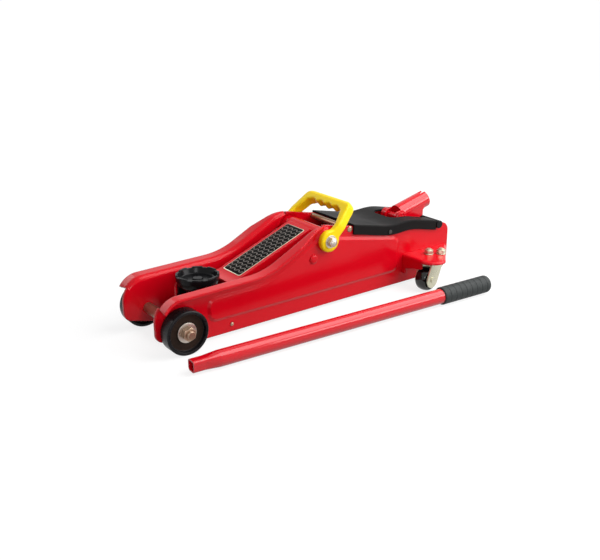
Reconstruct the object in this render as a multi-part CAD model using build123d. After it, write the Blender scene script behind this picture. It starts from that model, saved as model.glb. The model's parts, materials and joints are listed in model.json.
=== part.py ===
from build123d import *
import math
import os

# Hydraulic trolley jack with its pump handle lying on the floor beside it.
# X runs from the front axle to the rear, Y across the jack, Z up from the floor, in millimetres.
# Every pair is modelled on the right (plus Y) and mirrored to the left.

# Fits and clearances
fit = 0.05
end_float = 0.3
swing_gap = 0.5
seat_gap = 0.4
ram_gap = 0.7

# Side plates: pressed sheet with an outward top flange
frame_inner_width = 89.0
plate_thickness = 4.5
plate_front = -37.5
plate_rear = 519.0
plate_bottom = 5.3
chin_height = 20.5
toe_x = 22.0
shoulder_height = 80.5
ramp_foot = (138.0, 84.5)
hump = (239.0, 135.5)
cover_dip = (385.0, 104.5)
cover_rise = (430.0, 107.5)
rear_top_height = 88.6
nose_radius = 34.0
ramp_radius = 120.0
hump_radius = 55.0
dip_radius = 120.0
rear_radius = 16.0
tail_radius = 26.0
toe_radius = 30.0
chin_radius = 12.0
flange_width = 22.5
flange_bend = 8.0
flange_leg = 14.0
flange_start_angle = 40.0
flange_start_slant = 10.0
flange_taper_from = 195.0
flange_end = 248.0
flange_tip_width = 7.0
emboss_depth = 2.5
emboss_inset = 18.0
emboss_front = 44.0
emboss_rear = 405.0
emboss_bottom = 27.0
emboss_draft = 60.0
emboss_radius = 14.0
pivot_boss_radius = 20.0

# Front axle and wheels
wheel_radius = 32.0
wheel_width = 21.0
wheel_plate_gap = 2.4
wheel_dish_depth = 6.0
wheel_dish_radius = 26.5
wheel_lip_slope = 1.0
wheel_edge = 1.5
wheel_hub_radius = 13.0
axle_radius = 7.8
axle_journal_radius = 7.2
axle_thread_radius = 6.0
axle_washer_radius = 14.5
axle_washer_thickness = 2.2
axle_nut_size = 18.0
axle_nut_height = 8.0
axle_tip = 5.0

# Lift linkage: a parallelogram keeps the saddle level
lift_pivot = (254.0, 109.6)
saddle_pivot = (64.0, 52.0)
link_anchor = (229.0, 84.5)
lift_range = 66.0
lever_length = 48.0
arm_half_width = 28.0
arm_cheek = 4.0
arm_top_thickness = 4.0
arm_top_low = (108.0, 71.5)
arm_top_high = (244.0, 125.0)
arm_top_front = 92.0
arm_tube_radius = 16.0
arm_bend_radius = 40.0
arm_eye_margin = 2.0
arm_shoulder = (22.0, 8.0, 16.0)
arm_rear_belly = (-22.0, -32.0, 30.0)
arm_front_belly = (56.0, -10.0, 60.0)
saddle_pin_radius = 6.5
saddle_pin_overhang = 0.6
roller_radius = 9.0
roller_pin_radius = 6.0
roller_pin_end_radius = 3.5
roller_pin_reach = 41.0
pin_ring_radius = 9.0
pin_ring_thickness = 1.2
ring_groove_depth = 1.0
link_thickness = 5.0
link_half_width = 8.0
link_eye_margin = 1.0
link_gap = 3.0
link_pin_radius = 6.0
link_head_radius = 8.5
link_head_thickness = 1.8
link_shoulder_radius = 6.5
rivet_shank_radius = 5.0
rivet_dome_radius = 7.5
rivet_dome_height = 3.2

# Saddle
saddle_x = 58.7
saddle_radius = 31.5
saddle_base_radius = 28.5
saddle_skirt = 8.0
saddle_rim_width = 3.5
saddle_dish_slope = 2.5
saddle_rim_height = 83.6
saddle_lug_height = 1.4
saddle_lug_draft = 0.5
saddle_lug_count = 8
saddle_lug_angle = 30.0
saddle_dish_floor = 75.5
saddle_boss_radius = 7.0
saddle_boss_height = 78.5
saddle_stem_radius = 10.0
saddle_ring_radius = 14.0
saddle_ring_thickness = 2.0
saddle_groove_depth = 1.3
bracket_top = 69.0
bracket_plate = 6.0
bracket_wall = 5.0
bracket_length = 42.0
bracket_foot_margin = 4.0
bracket_corner = 3.0

# Main pivot ends and carry handle
main_shaft_radius = 10.0
carry_journal_radius = 6.0
carry_eye_radius = 16.0
carry_eye_thickness = 8.0
carry_lean = 48.0
carry_height = 70.0
carry_bend_height = 28.0
carry_bend_radius = 20.0
carry_grip_outer = 49.0
carry_grip_thickness = 16.0
carry_grip_half_depth = 7.5
carry_corner_radius = 14.0
carry_neck_radius = 8.0
carry_inner_corner = 7.0
finger_groove_radius = 12.0
finger_groove_depth = 3.0
finger_pitch = 19.0
finger_count = 4
pivot_stud_radius = 4.0
pivot_washer_radius = 10.0
pivot_washer_thickness = 1.6
pivot_nut_size = 13.0
pivot_nut_height = 6.5
pivot_dome_radius = 5.4
pivot_dome_height = 3.0

# Tie rods and rear cross bar
front_tie = (83.3, 16.7)
front_tie_radius = 5.0
front_tie_end_radius = 2.6
front_tie_head_radius = 2.9
front_tie_head_height = 2.5
upper_tie = (301.0, 117.7)
upper_tie_radius = 4.5
upper_tie_end_radius = 3.2
upper_tie_head_radius = 5.0
upper_tie_head_height = 1.6
rear_bar = (494.0, 91.0)
rear_bar_radius = 6.5
rear_bar_overhang = 4.5

# Top cover
cover_front = 307.0
cover_rear = 487.0
cover_wall = 3.0
cover_skirt = 16.0
cover_edge_radius = 2.2
window_front = 411.0
window_half_width = 27.0
window_corner = 14.0
cover_screw = (382.0, 99.0)
cover_screw_radius = 2.0
cover_screw_head_radius = 3.2
cover_screw_head = 1.8

# Hydraulic unit
unit_axis_height = 65.5
reservoir_radius = 28.0
reservoir_wall = 3.5
reservoir_front = 322.0
block_front = 402.0
block_rear = 490.0
block_half_width = 26.0
block_top = 79.0
block_flange = 10.0
block_edge_radius = 5.0
cylinder_bore_radius = 15.0
cylinder_wall = 4.0
gland_cap = 14.0
gland_spigot = 12.0
gland_flat = 3.0
ram_radius = 13.0
ram_head = 8.0
ram_head_radius = 14.0
piston_length = 10.0
piston_end_gap = 4.0
filler_x = 365.0
filler_stem_radius = 4.0
filler_head_radius = 6.5
filler_head_height = 5.0
base_thickness = 5.0
base_bottom = 10.0
base_overhang = 6.0
unit_bolt_radius = 4.0
unit_bolt_head_size = 13.0
unit_bolt_head = 4.5
unit_bolt_depth = 14.0
unit_bolt_inset = 16.0
valve_height = 40.0
valve_radius = 5.0
valve_depth = 8.0
valve_head_radius = 8.5
valve_head_start = 6.0
valve_head_length = 15.0
valve_pin_radius = 2.0
valve_pin_reach = 14.0

# Handle socket and pump plunger
socket_pivot = (438.0, 104.5)
socket_tilt = 14.0
socket_range = 50.0
socket_length = 72.0
socket_tube_start = 8.0
socket_eye_radius = 9.0
socket_radius = 14.5
socket_bore_radius = 11.3
socket_bore_depth = 58.0
socket_cheek = 4.0
socket_cheek_sink = 0.1
socket_heel = ((60.0, 0.0), (58.0, -7.0), (53.9, -9.7), (51.7, -18.6), (44.8, -18.9))
socket_notch_width = 7.0
socket_notch_depth = 9.0
socket_pin_radius = 5.0
ear_thickness = 6.0
ear_radius = 9.0
ear_foot_length = 34.0
plunger_throw = 38.0
plunger_radius = 6.5
plunger_depth = 48.0
plunger_pin_radius = 4.0
plunger_tongue_radius = 8.0
plunger_tongue_half_thickness = 6.0

# Caster brackets and casters
shelf_top = 54.0
shelf_thickness = 4.5
shelf_rim = 15.0
shelf_edge_radius = 4.0
shelf_front = 415.0
shelf_rear = 516.0
shelf_reach = 67.0
shelf_end_length = 32.0
shelf_front_radius = 24.0
shelf_rear_radius = 20.0
gusset_drop = 32.0
gusset_foot = 8.0
gusset_step = 9.0
caster_x = 447.0
caster_y = 87.0
caster_trail = 15.0
caster_angle = 172.0
caster_wheel_radius = 20.0
caster_wheel_width = 19.0
caster_tread_crown = 2.0
caster_hub_radius = 8.0
caster_dish_radius = 14.4
caster_dish_depth = 2.0
caster_edge = 3.0
caster_plate_thickness = 2.5
caster_plate_radius = 16.0
caster_stud_radius = 4.0
caster_stud_spots = ((450.0, 74.5), (467.0, 85.5))
caster_washer_radius = 7.6
caster_washer_thickness = 1.4
caster_nut_size = 13.0
caster_nut_height = 6.0
stud_overhang = 2.0
kingpin_radius = 4.0
kingpin_head_radius = 7.0
kingpin_head = 2.5
fork_sheet = 2.5
fork_race_radius = 13.0
fork_race_height = 1.5
fork_axle_radius = 3.0
fork_axle_head_radius = 4.5
fork_axle_head = 1.2
fork_foot_radius = 13.5
fork_brow_front = -10.0
fork_brow_rear = 19.0
fork_side_gap = 0.7

# Return springs
spring_wire = 2.0
spring_coil_radius = 4.6
spring_pitch = 4.2
spring_turns = 9
spring_y = 38.0
spring_bend_radius = 2.6
spring_gap_points = 600
anchor_x = 411.0
anchor_radius = 3.5
anchor_head_radius = 5.5
anchor_head = 2.0
anchor_reach = 42.0
anchor_bite = 13.0

# Pump handle on the floor
handle_front = (-26.6, -122.1)
handle_rear = (503.4, -154.8)
handle_tube_radius = 11.75
handle_tube_wall = 1.5
handle_square = 17.0
handle_square_corner = 4.5
handle_square_length = 18.0
handle_swage = 22.0
grip_length = 100.0
grip_radius = 14.0
grip_end_wall = 5.0
grip_end_radius = 6.0

# Values that follow from the driving dimensions
plate_inner = frame_inner_width / 2
plate_outer = plate_inner + plate_thickness
pressed_inner = plate_inner + emboss_depth
pressed_outer = plate_outer + emboss_depth
link_inner = arm_half_width + link_gap
link_outer = link_inner + link_thickness
link_front = (
    saddle_pivot[0] + link_anchor[0] - lift_pivot[0],
    saddle_pivot[1] + link_anchor[1] - lift_pivot[1],
)
half_lift = math.radians(lift_range / 2)
ram_stroke = 2 * lever_length * math.sin(half_lift)
roller_at = (
    lift_pivot[0] + lever_length * math.sin(half_lift),
    lift_pivot[1] - lever_length * math.cos(half_lift),
)
ram_face = roller_at[0] + roller_radius + ram_gap
half_swing = math.radians(socket_range / 2)
plunger_pin_at = (
    socket_pivot[0] + plunger_throw * math.cos(half_swing),
    socket_pivot[1] - plunger_throw * math.sin(half_swing),
)
plunger_stroke = 2 * plunger_throw * math.sin(half_swing)
plunger_x = socket_pivot[0] + plunger_throw * (1 + math.cos(half_swing)) / 2
block_bottom = base_bottom + base_thickness
carry_inner = pressed_outer + swing_gap
carry_outer = carry_inner + carry_eye_thickness
cheek_outer = socket_radius - socket_cheek_sink
ear_inner = socket_radius + swing_gap
plunger_foot = block_top - plunger_depth
hub_face = plate_outer + wheel_plate_gap + wheel_width - wheel_dish_depth


def slab(face, y_from, y_to):
    """Prism across the jack from a face drawn in X and Z."""
    plane = Plane(origin=(0, y_from, 0), x_dir=(1, 0, 0), z_dir=(0, -1, 0))
    return extrude(plane * face, amount=y_to - y_from, dir=(0, 1, 0))


def rod_x(y, z, radius, x_from, x_to):
    return Pos((x_from + x_to) / 2, y, z) * Rot(0, 90, 0) * Cylinder(radius, x_to - x_from)


def rod_y(spot, radius, y_from, y_to):
    return Pos(spot[0], (y_from + y_to) / 2, spot[1]) * Rot(90, 0, 0) * Cylinder(radius, y_to - y_from)


def rod_z(x, y, radius, z_from, z_to):
    return Pos(x, y, (z_from + z_to) / 2) * Cylinder(radius, z_to - z_from)


def brick(x_from, x_to, y_from, y_to, z_from, z_to):
    middle = Pos((x_from + x_to) / 2, (y_from + y_to) / 2, (z_from + z_to) / 2)
    return middle * Box(x_to - x_from, y_to - y_from, z_to - z_from)


def rounded(corners):
    """Face with corners given as x, z and radius."""
    points = [(x, z) for x, z, radius in corners]
    radii = [radius for x, z, radius in corners]
    return make_face(FilletPolyline(*points, radius=radii, close=True))


def turned(profile):
    """Solid of revolution about Z from radius and height pairs."""
    return revolve(Plane.XZ * make_face(Polyline(*profile, close=True)), Axis.Z)


def on_side(solid, spot):
    """Stand a solid made about Z along plus Y, with its height as the distance from the middle plane."""
    return Pos(spot[0], 0, spot[1]) * Rot(-90, 0, 0) * solid


def hex_nut(size, height, hole_radius):
    flats = extrude(RegularPolygon(size / 2, 6, major_radius=False), height)
    return flats - Pos(0, 0, height / 2) * Cylinder(hole_radius, height * 2)


def washer(outer, inner, thickness):
    return extrude(Circle(outer) - Circle(inner), thickness)


def crown(radius, height, base):
    """Outline of a domed end, from its rim to its middle."""
    angles = [math.radians(angle) for angle in (0, 30, 60, 90)]
    return [(radius * math.cos(angle), base + height * math.sin(angle)) for angle in angles]


def mirrored(solid):
    return mirror(solid, about=Plane.XZ)


def pair(solid):
    """One node of two like solids, right and left."""
    return Compound([solid.solid(), mirrored(solid).solid()])


def line_height(start, end, x):
    return start[1] + (x - start[0]) * (end[1] - start[1]) / (end[0] - start[0])


# Side plates

top_corners = [(plate_front, shoulder_height), ramp_foot, hump, cover_dip]


def along_top_edge(section):
    """Sweep a section along the top edge and trim it to the stretch that has the flange.

    The section's first value is the depth below the edge, the second the distance out from the inner face.
    """
    start = (plate_front, shoulder_height / 2)
    radii = [nose_radius, ramp_radius, hump_radius]
    flat_path = FilletPolyline(start, *top_corners, radius=radii)
    path = Plane(origin=(0, plate_inner, 0), x_dir=(1, 0, 0), z_dir=(0, -1, 0)) * flat_path
    strip = sweep(Pos(plate_front, plate_inner, start[1]) * section, path=path)
    nose_centre = Pos(plate_front + nose_radius, plate_inner, shoulder_height - nose_radius)
    reach = 4 * nose_radius
    slanted = nose_centre * Rot(0, flange_start_angle, 0) * Rot(-flange_start_slant, 0, 0)
    below_start = slanted * Pos(-reach, 0, -reach) * Box(2 * reach, 2 * reach, 2 * reach)
    behind_end = brick(flange_end, plate_rear, 0, 2 * reach, 0, 2 * hump[1])
    return strip - below_start - behind_end


def flange_strip():
    bend = flange_bend
    inside = bend - plate_thickness
    lean = math.sqrt(0.5)
    outer_mid = (bend - bend * lean, bend - bend * lean)
    inner_mid = (bend - inside * lean, bend - inside * lean)
    outline = [
        Line((flange_leg, 0), (bend, 0)),
        ThreePointArc((bend, 0), outer_mid, (0, bend)),
        Line((0, bend), (0, flange_width)),
        Line((0, flange_width), (plate_thickness, flange_width)),
        Line((plate_thickness, flange_width), (plate_thickness, bend)),
        ThreePointArc((plate_thickness, bend), inner_mid, (bend, plate_thickness)),
        Line((bend, plate_thickness), (flange_leg, plate_thickness)),
        Line((flange_leg, plate_thickness), (flange_leg, 0)),
    ]
    strip = along_top_edge(make_face(outline))
    edge = plate_inner + flange_width
    taper = [
        (flange_taper_from, edge),
        (flange_end + 1, plate_inner + flange_tip_width),
        (flange_end + 1, edge + 1),
        (flange_taper_from, edge + 1),
    ]
    return strip - extrude(make_face(Polyline(*taper, close=True)), 2 * hump[1])


def emboss(from_y):
    """Pressed panel and round pivot boss, raised outwards from the given plane."""
    flat_drop = emboss_inset
    ramp_slope = (hump[1] - ramp_foot[1]) / (hump[0] - ramp_foot[0])
    rear_slope = (cover_dip[1] - hump[1]) / (cover_dip[0] - hump[0])
    ramp_drop = emboss_inset * math.hypot(1, ramp_slope)
    foot_x = ramp_foot[0] + (ramp_drop - flat_drop) / ramp_slope
    rear_drop = emboss_inset * math.hypot(1, rear_slope)
    hump_x = hump[0] + (ramp_drop - rear_drop) / (ramp_slope - rear_slope)
    corners = [
        (emboss_front, emboss_bottom, emboss_radius),
        (emboss_front, line_height(top_corners[0], ramp_foot, emboss_front) - flat_drop, emboss_radius),
        (foot_x, ramp_foot[1] - flat_drop, ramp_radius),
        (hump_x, line_height(hump, cover_dip, hump_x) - rear_drop, hump_radius - emboss_inset),
        (emboss_rear, cover_dip[1] - rear_drop, emboss_radius),
        (emboss_rear, emboss_bottom, emboss_radius),
    ]
    plane = Plane(origin=(0, from_y, 0), x_dir=(-1, 0, 0), z_dir=(0, 1, 0))
    flipped = mirror(rounded(corners), about=Plane.YZ)
    panel = extrude(plane * flipped, amount=emboss_depth, taper=emboss_draft)
    top_radius = pivot_boss_radius - emboss_depth * math.tan(math.radians(emboss_draft))
    boss = Pos(0, 0, from_y + emboss_depth / 2) * Cone(pivot_boss_radius, top_radius, emboss_depth)
    return panel + on_side(boss, lift_pivot)


def side_plate():
    corners = [
        (plate_front, shoulder_height, nose_radius),
        (*ramp_foot, ramp_radius),
        (*hump, hump_radius),
        (*cover_dip, dip_radius),
        (*cover_rise, dip_radius),
        (plate_rear, rear_top_height, rear_radius),
        (plate_rear, plate_bottom, tail_radius),
        (toe_x, plate_bottom, toe_radius),
        (plate_front, chin_height, chin_radius),
    ]
    plate = slab(rounded(corners), plate_inner, plate_outer)
    bend_room = flange_bend + 1
    room = Pos(bend_room / 2 - 1, plate_thickness / 2) * Rectangle(bend_room + 2, plate_thickness + 2)
    plate = plate - along_top_edge(room) + flange_strip()
    plate = plate + emboss(plate_outer) - emboss(plate_inner)
    holes = [
        ((0, wheel_radius), axle_journal_radius),
        (front_tie, front_tie_end_radius),
        (link_anchor, rivet_shank_radius),
        (lift_pivot, main_shaft_radius),
        (upper_tie, upper_tie_end_radius),
        (rear_bar, rear_bar_radius),
        (cover_screw, cover_screw_radius),
    ]
    for spot, radius in holes:
        plate = plate - rod_y(spot, radius + fit, plate_inner - 1, pressed_outer + 1)
    return plate


# Front axle, wheels and tie rods

def front_axle():
    spot = (0, wheel_radius)
    washer_seat = hub_face + end_float
    tip = washer_seat + axle_washer_thickness + axle_nut_height + axle_tip
    middle = rod_y(spot, axle_radius, -plate_inner, plate_inner)
    journals = rod_y(spot, axle_journal_radius, -washer_seat, washer_seat)
    return middle + journals + rod_y(spot, axle_thread_radius, -tip, tip)


def front_wheel():
    bore = axle_journal_radius + fit
    inner = plate_outer + wheel_plate_gap
    outer = inner + wheel_width
    boss = plate_outer + end_float
    lip = wheel_dish_radius + wheel_lip_slope
    back = inner + wheel_dish_depth - wheel_lip_slope
    profile = [
        (bore, boss),
        (wheel_hub_radius, boss),
        (wheel_hub_radius, back),
        (wheel_dish_radius, back),
        (lip, inner),
        (wheel_radius - wheel_edge, inner),
        (wheel_radius, inner + wheel_edge),
        (wheel_radius, outer - wheel_edge),
        (wheel_radius - wheel_edge, outer),
        (lip, outer),
        (wheel_dish_radius, hub_face),
        (bore, hub_face),
    ]
    return on_side(turned(profile), (0, wheel_radius))


def axle_washer():
    ring = washer(axle_washer_radius, axle_thread_radius + fit, axle_washer_thickness)
    return on_side(Pos(0, 0, hub_face + end_float) * ring, (0, wheel_radius))


def axle_nut():
    nut = hex_nut(axle_nut_size, axle_nut_height, axle_thread_radius + fit)
    return on_side(Pos(0, 0, hub_face + end_float + axle_washer_thickness) * nut, (0, wheel_radius))


def tie_rod(spot, radius, end_radius, head_radius, head_height):
    middle = rod_y(spot, radius, -plate_inner, plate_inner)
    shank = rod_y(spot, end_radius, -plate_outer, plate_outer)
    head = on_side(turned([(0, plate_outer)] + crown(head_radius, head_height, plate_outer)), spot)
    return middle + shank + head + mirrored(head)


def rear_cross_bar():
    reach = plate_outer + rear_bar_overhang
    return rod_y(rear_bar, rear_bar_radius, -reach, reach)


# Main pivot and carry handle

def main_pivot_shaft():
    seat = carry_outer + end_float
    tip = seat + pivot_washer_thickness + pivot_nut_height
    shaft = rod_y(lift_pivot, main_shaft_radius, -pressed_outer, pressed_outer)
    journals = rod_y(lift_pivot, carry_journal_radius, -seat, seat)
    return shaft + journals + rod_y(lift_pivot, pivot_stud_radius, -tip, tip)


def pivot_washer():
    ring = washer(pivot_washer_radius, pivot_stud_radius + fit, pivot_washer_thickness)
    return on_side(Pos(0, 0, carry_outer + end_float) * ring, lift_pivot)


def pivot_nut():
    seat = carry_outer + end_float + pivot_washer_thickness
    nut = hex_nut(pivot_nut_size, pivot_nut_height, pivot_stud_radius + fit)
    dome = turned([(0, pivot_nut_height)] + crown(pivot_dome_radius, pivot_dome_height, pivot_nut_height))
    return on_side(Pos(0, 0, seat) * (nut + dome), lift_pivot)


def carry_bail(outer, foot, bend_height, grip_outer, top, corner):
    """Face of a bail seen from the front: upright legs that lean in to a narrower grip."""
    right = [(outer, foot, 0), (outer, bend_height, carry_bend_radius), (grip_outer, top, corner)]
    left = [(-y, z, radius) for y, z, radius in reversed(right)]
    return Plane.YZ * rounded(right + left)


def carry_handle():
    """Drawn upright over the pivot, then leaned back."""
    tall = carry_height
    under = tall - carry_grip_thickness
    depth = 2 * carry_eye_radius
    foot = -carry_eye_radius
    front = carry_bail(carry_outer, foot, carry_bend_height, carry_grip_outer, tall, carry_corner_radius)
    grip_inner = carry_grip_outer - carry_eye_thickness
    gap = carry_bail(carry_inner, foot - 1, carry_bend_height, grip_inner, under, carry_inner_corner)
    bail = extrude(front, depth, both=True) - extrude(gap, depth, both=True)
    for step in range(finger_count):
        across = (step - (finger_count - 1) / 2) * finger_pitch
        spot = (across, under - finger_groove_radius + finger_groove_depth)
        groove = extrude(Plane.YZ * Pos(*spot) * Circle(finger_groove_radius), depth, both=True)
        bail = bail - groove
    half = carry_grip_half_depth
    profile = Circle(carry_eye_radius) + Pos(0, tall / 2) * Rectangle(2 * half, tall)
    necks = profile.vertices().filter_by_position(Axis.Y, half, carry_eye_radius)
    profile = fillet(necks, carry_neck_radius)
    profile = fillet(profile.vertices().group_by(Axis.Y)[-1], half - end_float)
    bail = bail & slab(profile, -carry_outer - 1, carry_outer + 1)
    bail = bail - rod_y((0, 0), carry_journal_radius + fit, -carry_outer - 1, carry_outer + 1)
    return Pos(lift_pivot[0], 0, lift_pivot[1]) * Rot(0, carry_lean, 0) * bail


# Lift arm and its linkage

def lift_arm():
    slope = (arm_top_high[1] - arm_top_low[1]) / (arm_top_high[0] - arm_top_low[0])
    sink = arm_top_thickness * math.hypot(1, slope)
    level = arm_top_low[1] - arm_top_thickness
    low_kink = (arm_top_low[0], level)
    rear_height = arm_top_high[1] - sink
    pin_wall = 2 * saddle_pin_radius
    roller_wall = 2 * roller_pin_radius
    margin = arm_eye_margin
    nose_x = saddle_pivot[0] - pin_wall - margin
    cheek = rounded([
        (nose_x, level - margin, pin_wall),
        (*low_kink, arm_bend_radius),
        (arm_top_high[0], rear_height, arm_top_thickness),
        (lift_pivot[0] + arm_shoulder[0], lift_pivot[1] + arm_shoulder[1], arm_shoulder[2]),
        (roller_at[0] + roller_wall + margin, roller_at[1] - 2 * margin, roller_wall),
        (roller_at[0] - margin, roller_at[1] - roller_wall - margin, roller_wall),
        (lift_pivot[0] + arm_rear_belly[0], lift_pivot[1] + arm_rear_belly[1], arm_rear_belly[2]),
        (saddle_pivot[0] + arm_front_belly[0], saddle_pivot[1] + arm_front_belly[1], arm_front_belly[2]),
        (nose_x, saddle_pivot[1] - pin_wall - margin / 2, pin_wall),
    ])
    cheek_inner = arm_half_width - arm_cheek
    right = slab(cheek, cheek_inner, arm_half_width)
    top = rounded([
        (arm_top_front, level, 0),
        (*low_kink, arm_bend_radius),
        (arm_top_high[0], rear_height, 0),
        (arm_top_high[0] - arm_top_thickness * slope, arm_top_high[1] - arm_top_thickness * slope * slope, 0),
        (*arm_top_low, arm_bend_radius - arm_top_thickness),
        (arm_top_front, arm_top_low[1], 0),
    ])
    arm = right + mirrored(right) + slab(top, -arm_half_width, arm_half_width)
    tube_reach = pressed_inner - end_float
    arm = arm + rod_y(lift_pivot, arm_tube_radius, -tube_reach, tube_reach)
    arm = arm - rod_y(lift_pivot, main_shaft_radius + fit, -tube_reach - 1, tube_reach + 1)
    wide = arm_half_width + 1
    arm = arm - rod_y(saddle_pivot, saddle_pin_radius + fit, -wide, wide)
    return arm - rod_y(roller_at, roller_pin_radius + fit, -wide, wide)


def saddle_pin():
    reach = arm_half_width + end_float + pin_ring_thickness + saddle_pin_overhang
    pin = rod_y(saddle_pivot, saddle_pin_radius, -reach, reach)
    groove = washer(saddle_pin_radius + 1, saddle_pin_radius - ring_groove_depth, pin_ring_thickness)
    groove = on_side(Pos(0, 0, arm_half_width + end_float) * groove, saddle_pivot)
    return pin - groove - mirrored(groove)


def pin_ring():
    inner = saddle_pin_radius - ring_groove_depth + fit
    ring = washer(pin_ring_radius, inner, pin_ring_thickness - 2 * fit)
    return on_side(Pos(0, 0, arm_half_width + end_float + fit) * ring, saddle_pivot)


def roller_pin():
    reach = arm_half_width + 1
    pin = rod_y(roller_at, roller_pin_radius, -reach, reach)
    return pin + rod_y(roller_at, roller_pin_end_radius, -roller_pin_reach, roller_pin_reach)


def ram_roller():
    reach = arm_half_width - arm_cheek - end_float
    tube = rod_y(roller_at, roller_radius, -reach, reach)
    return tube - rod_y(roller_at, roller_pin_radius + fit, -reach - 1, reach + 1)


def link_bar():
    run = (link_anchor[0] - link_front[0], link_anchor[1] - link_front[1])
    middle = Pos((link_anchor[0] + link_front[0]) / 2, (link_anchor[1] + link_front[1]) / 2)
    turn = math.degrees(math.atan2(run[1], run[0]))
    bar = middle * Rot(0, 0, turn) * SlotCenterToCenter(math.hypot(*run), 2 * link_half_width)
    eye = Circle(link_half_width + link_eye_margin)
    eyes = Pos(*link_anchor) * eye + Pos(*link_front) * eye
    solid = slab(bar + eyes, link_inner, link_outer)
    for spot in (link_anchor, link_front):
        solid = solid - rod_y(spot, link_pin_radius + fit, link_inner - 1, link_outer + 1)
    return solid


def link_rivet():
    shoulder = link_outer + end_float
    neck = link_inner - end_float
    profile = [
        (0, neck - link_head_thickness),
        (link_head_radius, neck - link_head_thickness),
        (link_head_radius, neck),
        (link_pin_radius, neck),
        (link_pin_radius, shoulder),
        (link_shoulder_radius, shoulder),
        (link_shoulder_radius, pressed_inner),
        (rivet_shank_radius, pressed_inner),
        (rivet_shank_radius, pressed_outer),
    ]
    profile += crown(rivet_dome_radius, rivet_dome_height, pressed_outer)
    return on_side(turned(profile), link_anchor)


def saddle_bracket():
    half = arm_half_width - arm_cheek - swing_gap
    front = saddle_x - bracket_length / 2
    rear = saddle_x + bracket_length / 2
    foot = link_head_radius
    margin = bracket_foot_margin
    wall = rounded([
        (front, bracket_top, bracket_corner),
        (rear, bracket_top, bracket_corner),
        (rear, saddle_pivot[1] - margin / 2, foot),
        (link_front[0] + foot + margin, link_front[1] - foot, foot),
        (link_front[0] - foot, link_front[1] - foot, 2 * bracket_corner),
        (link_front[0] - foot, link_front[1] + foot, 2 * bracket_corner),
        (front, saddle_pivot[1], foot),
    ])
    side = slab(wall, half - bracket_wall, half)
    boss = rod_y(link_front, foot, half - 1, link_inner - end_float)
    top = brick(front, rear, -half, half, bracket_top - bracket_plate, bracket_top)
    bracket = side + boss + mirrored(side + boss) + top
    bracket = bracket - rod_z(saddle_x, 0, saddle_stem_radius + fit, 0, bracket_top + 1)
    bracket = bracket - rod_y(saddle_pivot, saddle_pin_radius + fit, -half - 1, half + 1)
    return bracket - rod_y(link_front, link_pin_radius + fit, -link_inner, link_inner)


def link_pin():
    reach = link_outer + end_float
    pin = rod_y(link_front, link_pin_radius, -reach, reach)
    head = rod_y(link_front, link_head_radius, reach, reach + link_head_thickness)
    return pin + head + mirrored(head)


def saddle():
    base = bracket_top + end_float
    groove_top = bracket_top - bracket_plate - end_float
    stem_end = groove_top - saddle_ring_thickness - 1
    rim = saddle_rim_height
    lip = saddle_radius - saddle_rim_width
    profile = [
        (0, stem_end),
        (saddle_stem_radius, stem_end),
        (saddle_stem_radius, base),
        (saddle_base_radius, base),
        (saddle_radius, base + saddle_skirt),
        (saddle_radius, rim),
        (lip, rim),
        (lip - saddle_dish_slope, saddle_dish_floor),
        (saddle_boss_radius + saddle_lug_draft, saddle_dish_floor),
        (saddle_boss_radius, saddle_boss_height),
        (0, saddle_boss_height),
    ]
    dish = turned(profile)
    lug_outline = [
        (lip, rim - 1),
        (saddle_radius, rim - 1),
        (saddle_radius - saddle_lug_draft, rim + saddle_lug_height),
        (lip + saddle_lug_draft, rim + saddle_lug_height),
    ]
    lug = revolve(Plane.XZ * make_face(Polyline(*lug_outline, close=True)), Axis.Z, saddle_lug_angle)
    for step in range(saddle_lug_count):
        dish = dish + Rot(0, 0, step * 360 / saddle_lug_count) * lug
    groove = washer(saddle_stem_radius + 1, saddle_stem_radius - saddle_groove_depth, saddle_ring_thickness)
    dish = dish - Pos(0, 0, groove_top - saddle_ring_thickness) * groove
    return Pos(saddle_x, 0, 0) * dish


def saddle_ring():
    inner = saddle_stem_radius - saddle_groove_depth + fit
    ring = washer(saddle_ring_radius, inner, saddle_ring_thickness - 2 * fit)
    low = bracket_top - bracket_plate - end_float - saddle_ring_thickness + fit
    return Pos(saddle_x, 0, low) * ring


# Hydraulic unit

def ram():
    rod_end = block_front - piston_end_gap
    head = rod_x(0, unit_axis_height, ram_head_radius, ram_face, ram_face + ram_head)
    rod = rod_x(0, unit_axis_height, ram_radius, ram_face, rod_end)
    piston = rod_x(0, unit_axis_height, cylinder_bore_radius - fit, rod_end - piston_length, rod_end)
    return head + rod + piston


def gland_nut():
    cap_front = reservoir_front - gland_cap
    inner_end = reservoir_front + gland_spigot
    cap = rod_x(0, unit_axis_height, reservoir_radius, cap_front, reservoir_front)
    spigot_radius = reservoir_radius - reservoir_wall - fit
    spigot = rod_x(0, unit_axis_height, spigot_radius, reservoir_front, inner_end)
    bore = rod_x(0, unit_axis_height, ram_radius + fit, cap_front - 1, inner_end + 1)
    wide = reservoir_radius
    nut = cap + spigot - bore
    for side in (-1, 1):
        flat_z = unit_axis_height + side * (wide - gland_flat / 2 + 1)
        flat = Pos(cap_front + gland_cap / 4, 0, flat_z) * Box(gland_cap / 2, 2 * wide, gland_flat + 2)
        nut = nut - flat
    return nut


def tube_x(outer, inner, x_from, x_to):
    tube = rod_x(0, unit_axis_height, outer, x_from, x_to)
    return tube - rod_x(0, unit_axis_height, inner, x_from - 1, x_to + 1)


def reservoir():
    tube = tube_x(reservoir_radius, reservoir_radius - reservoir_wall, reservoir_front, block_front)
    top = unit_axis_height + reservoir_radius
    return tube - rod_z(filler_x, 0, filler_stem_radius + fit, unit_axis_height, top + 1)


def filler_plug():
    top = unit_axis_height + reservoir_radius
    stem = rod_z(filler_x, 0, filler_stem_radius, top - reservoir_wall, top)
    return stem + rod_z(filler_x, 0, filler_head_radius, top, top + filler_head_height)


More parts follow.
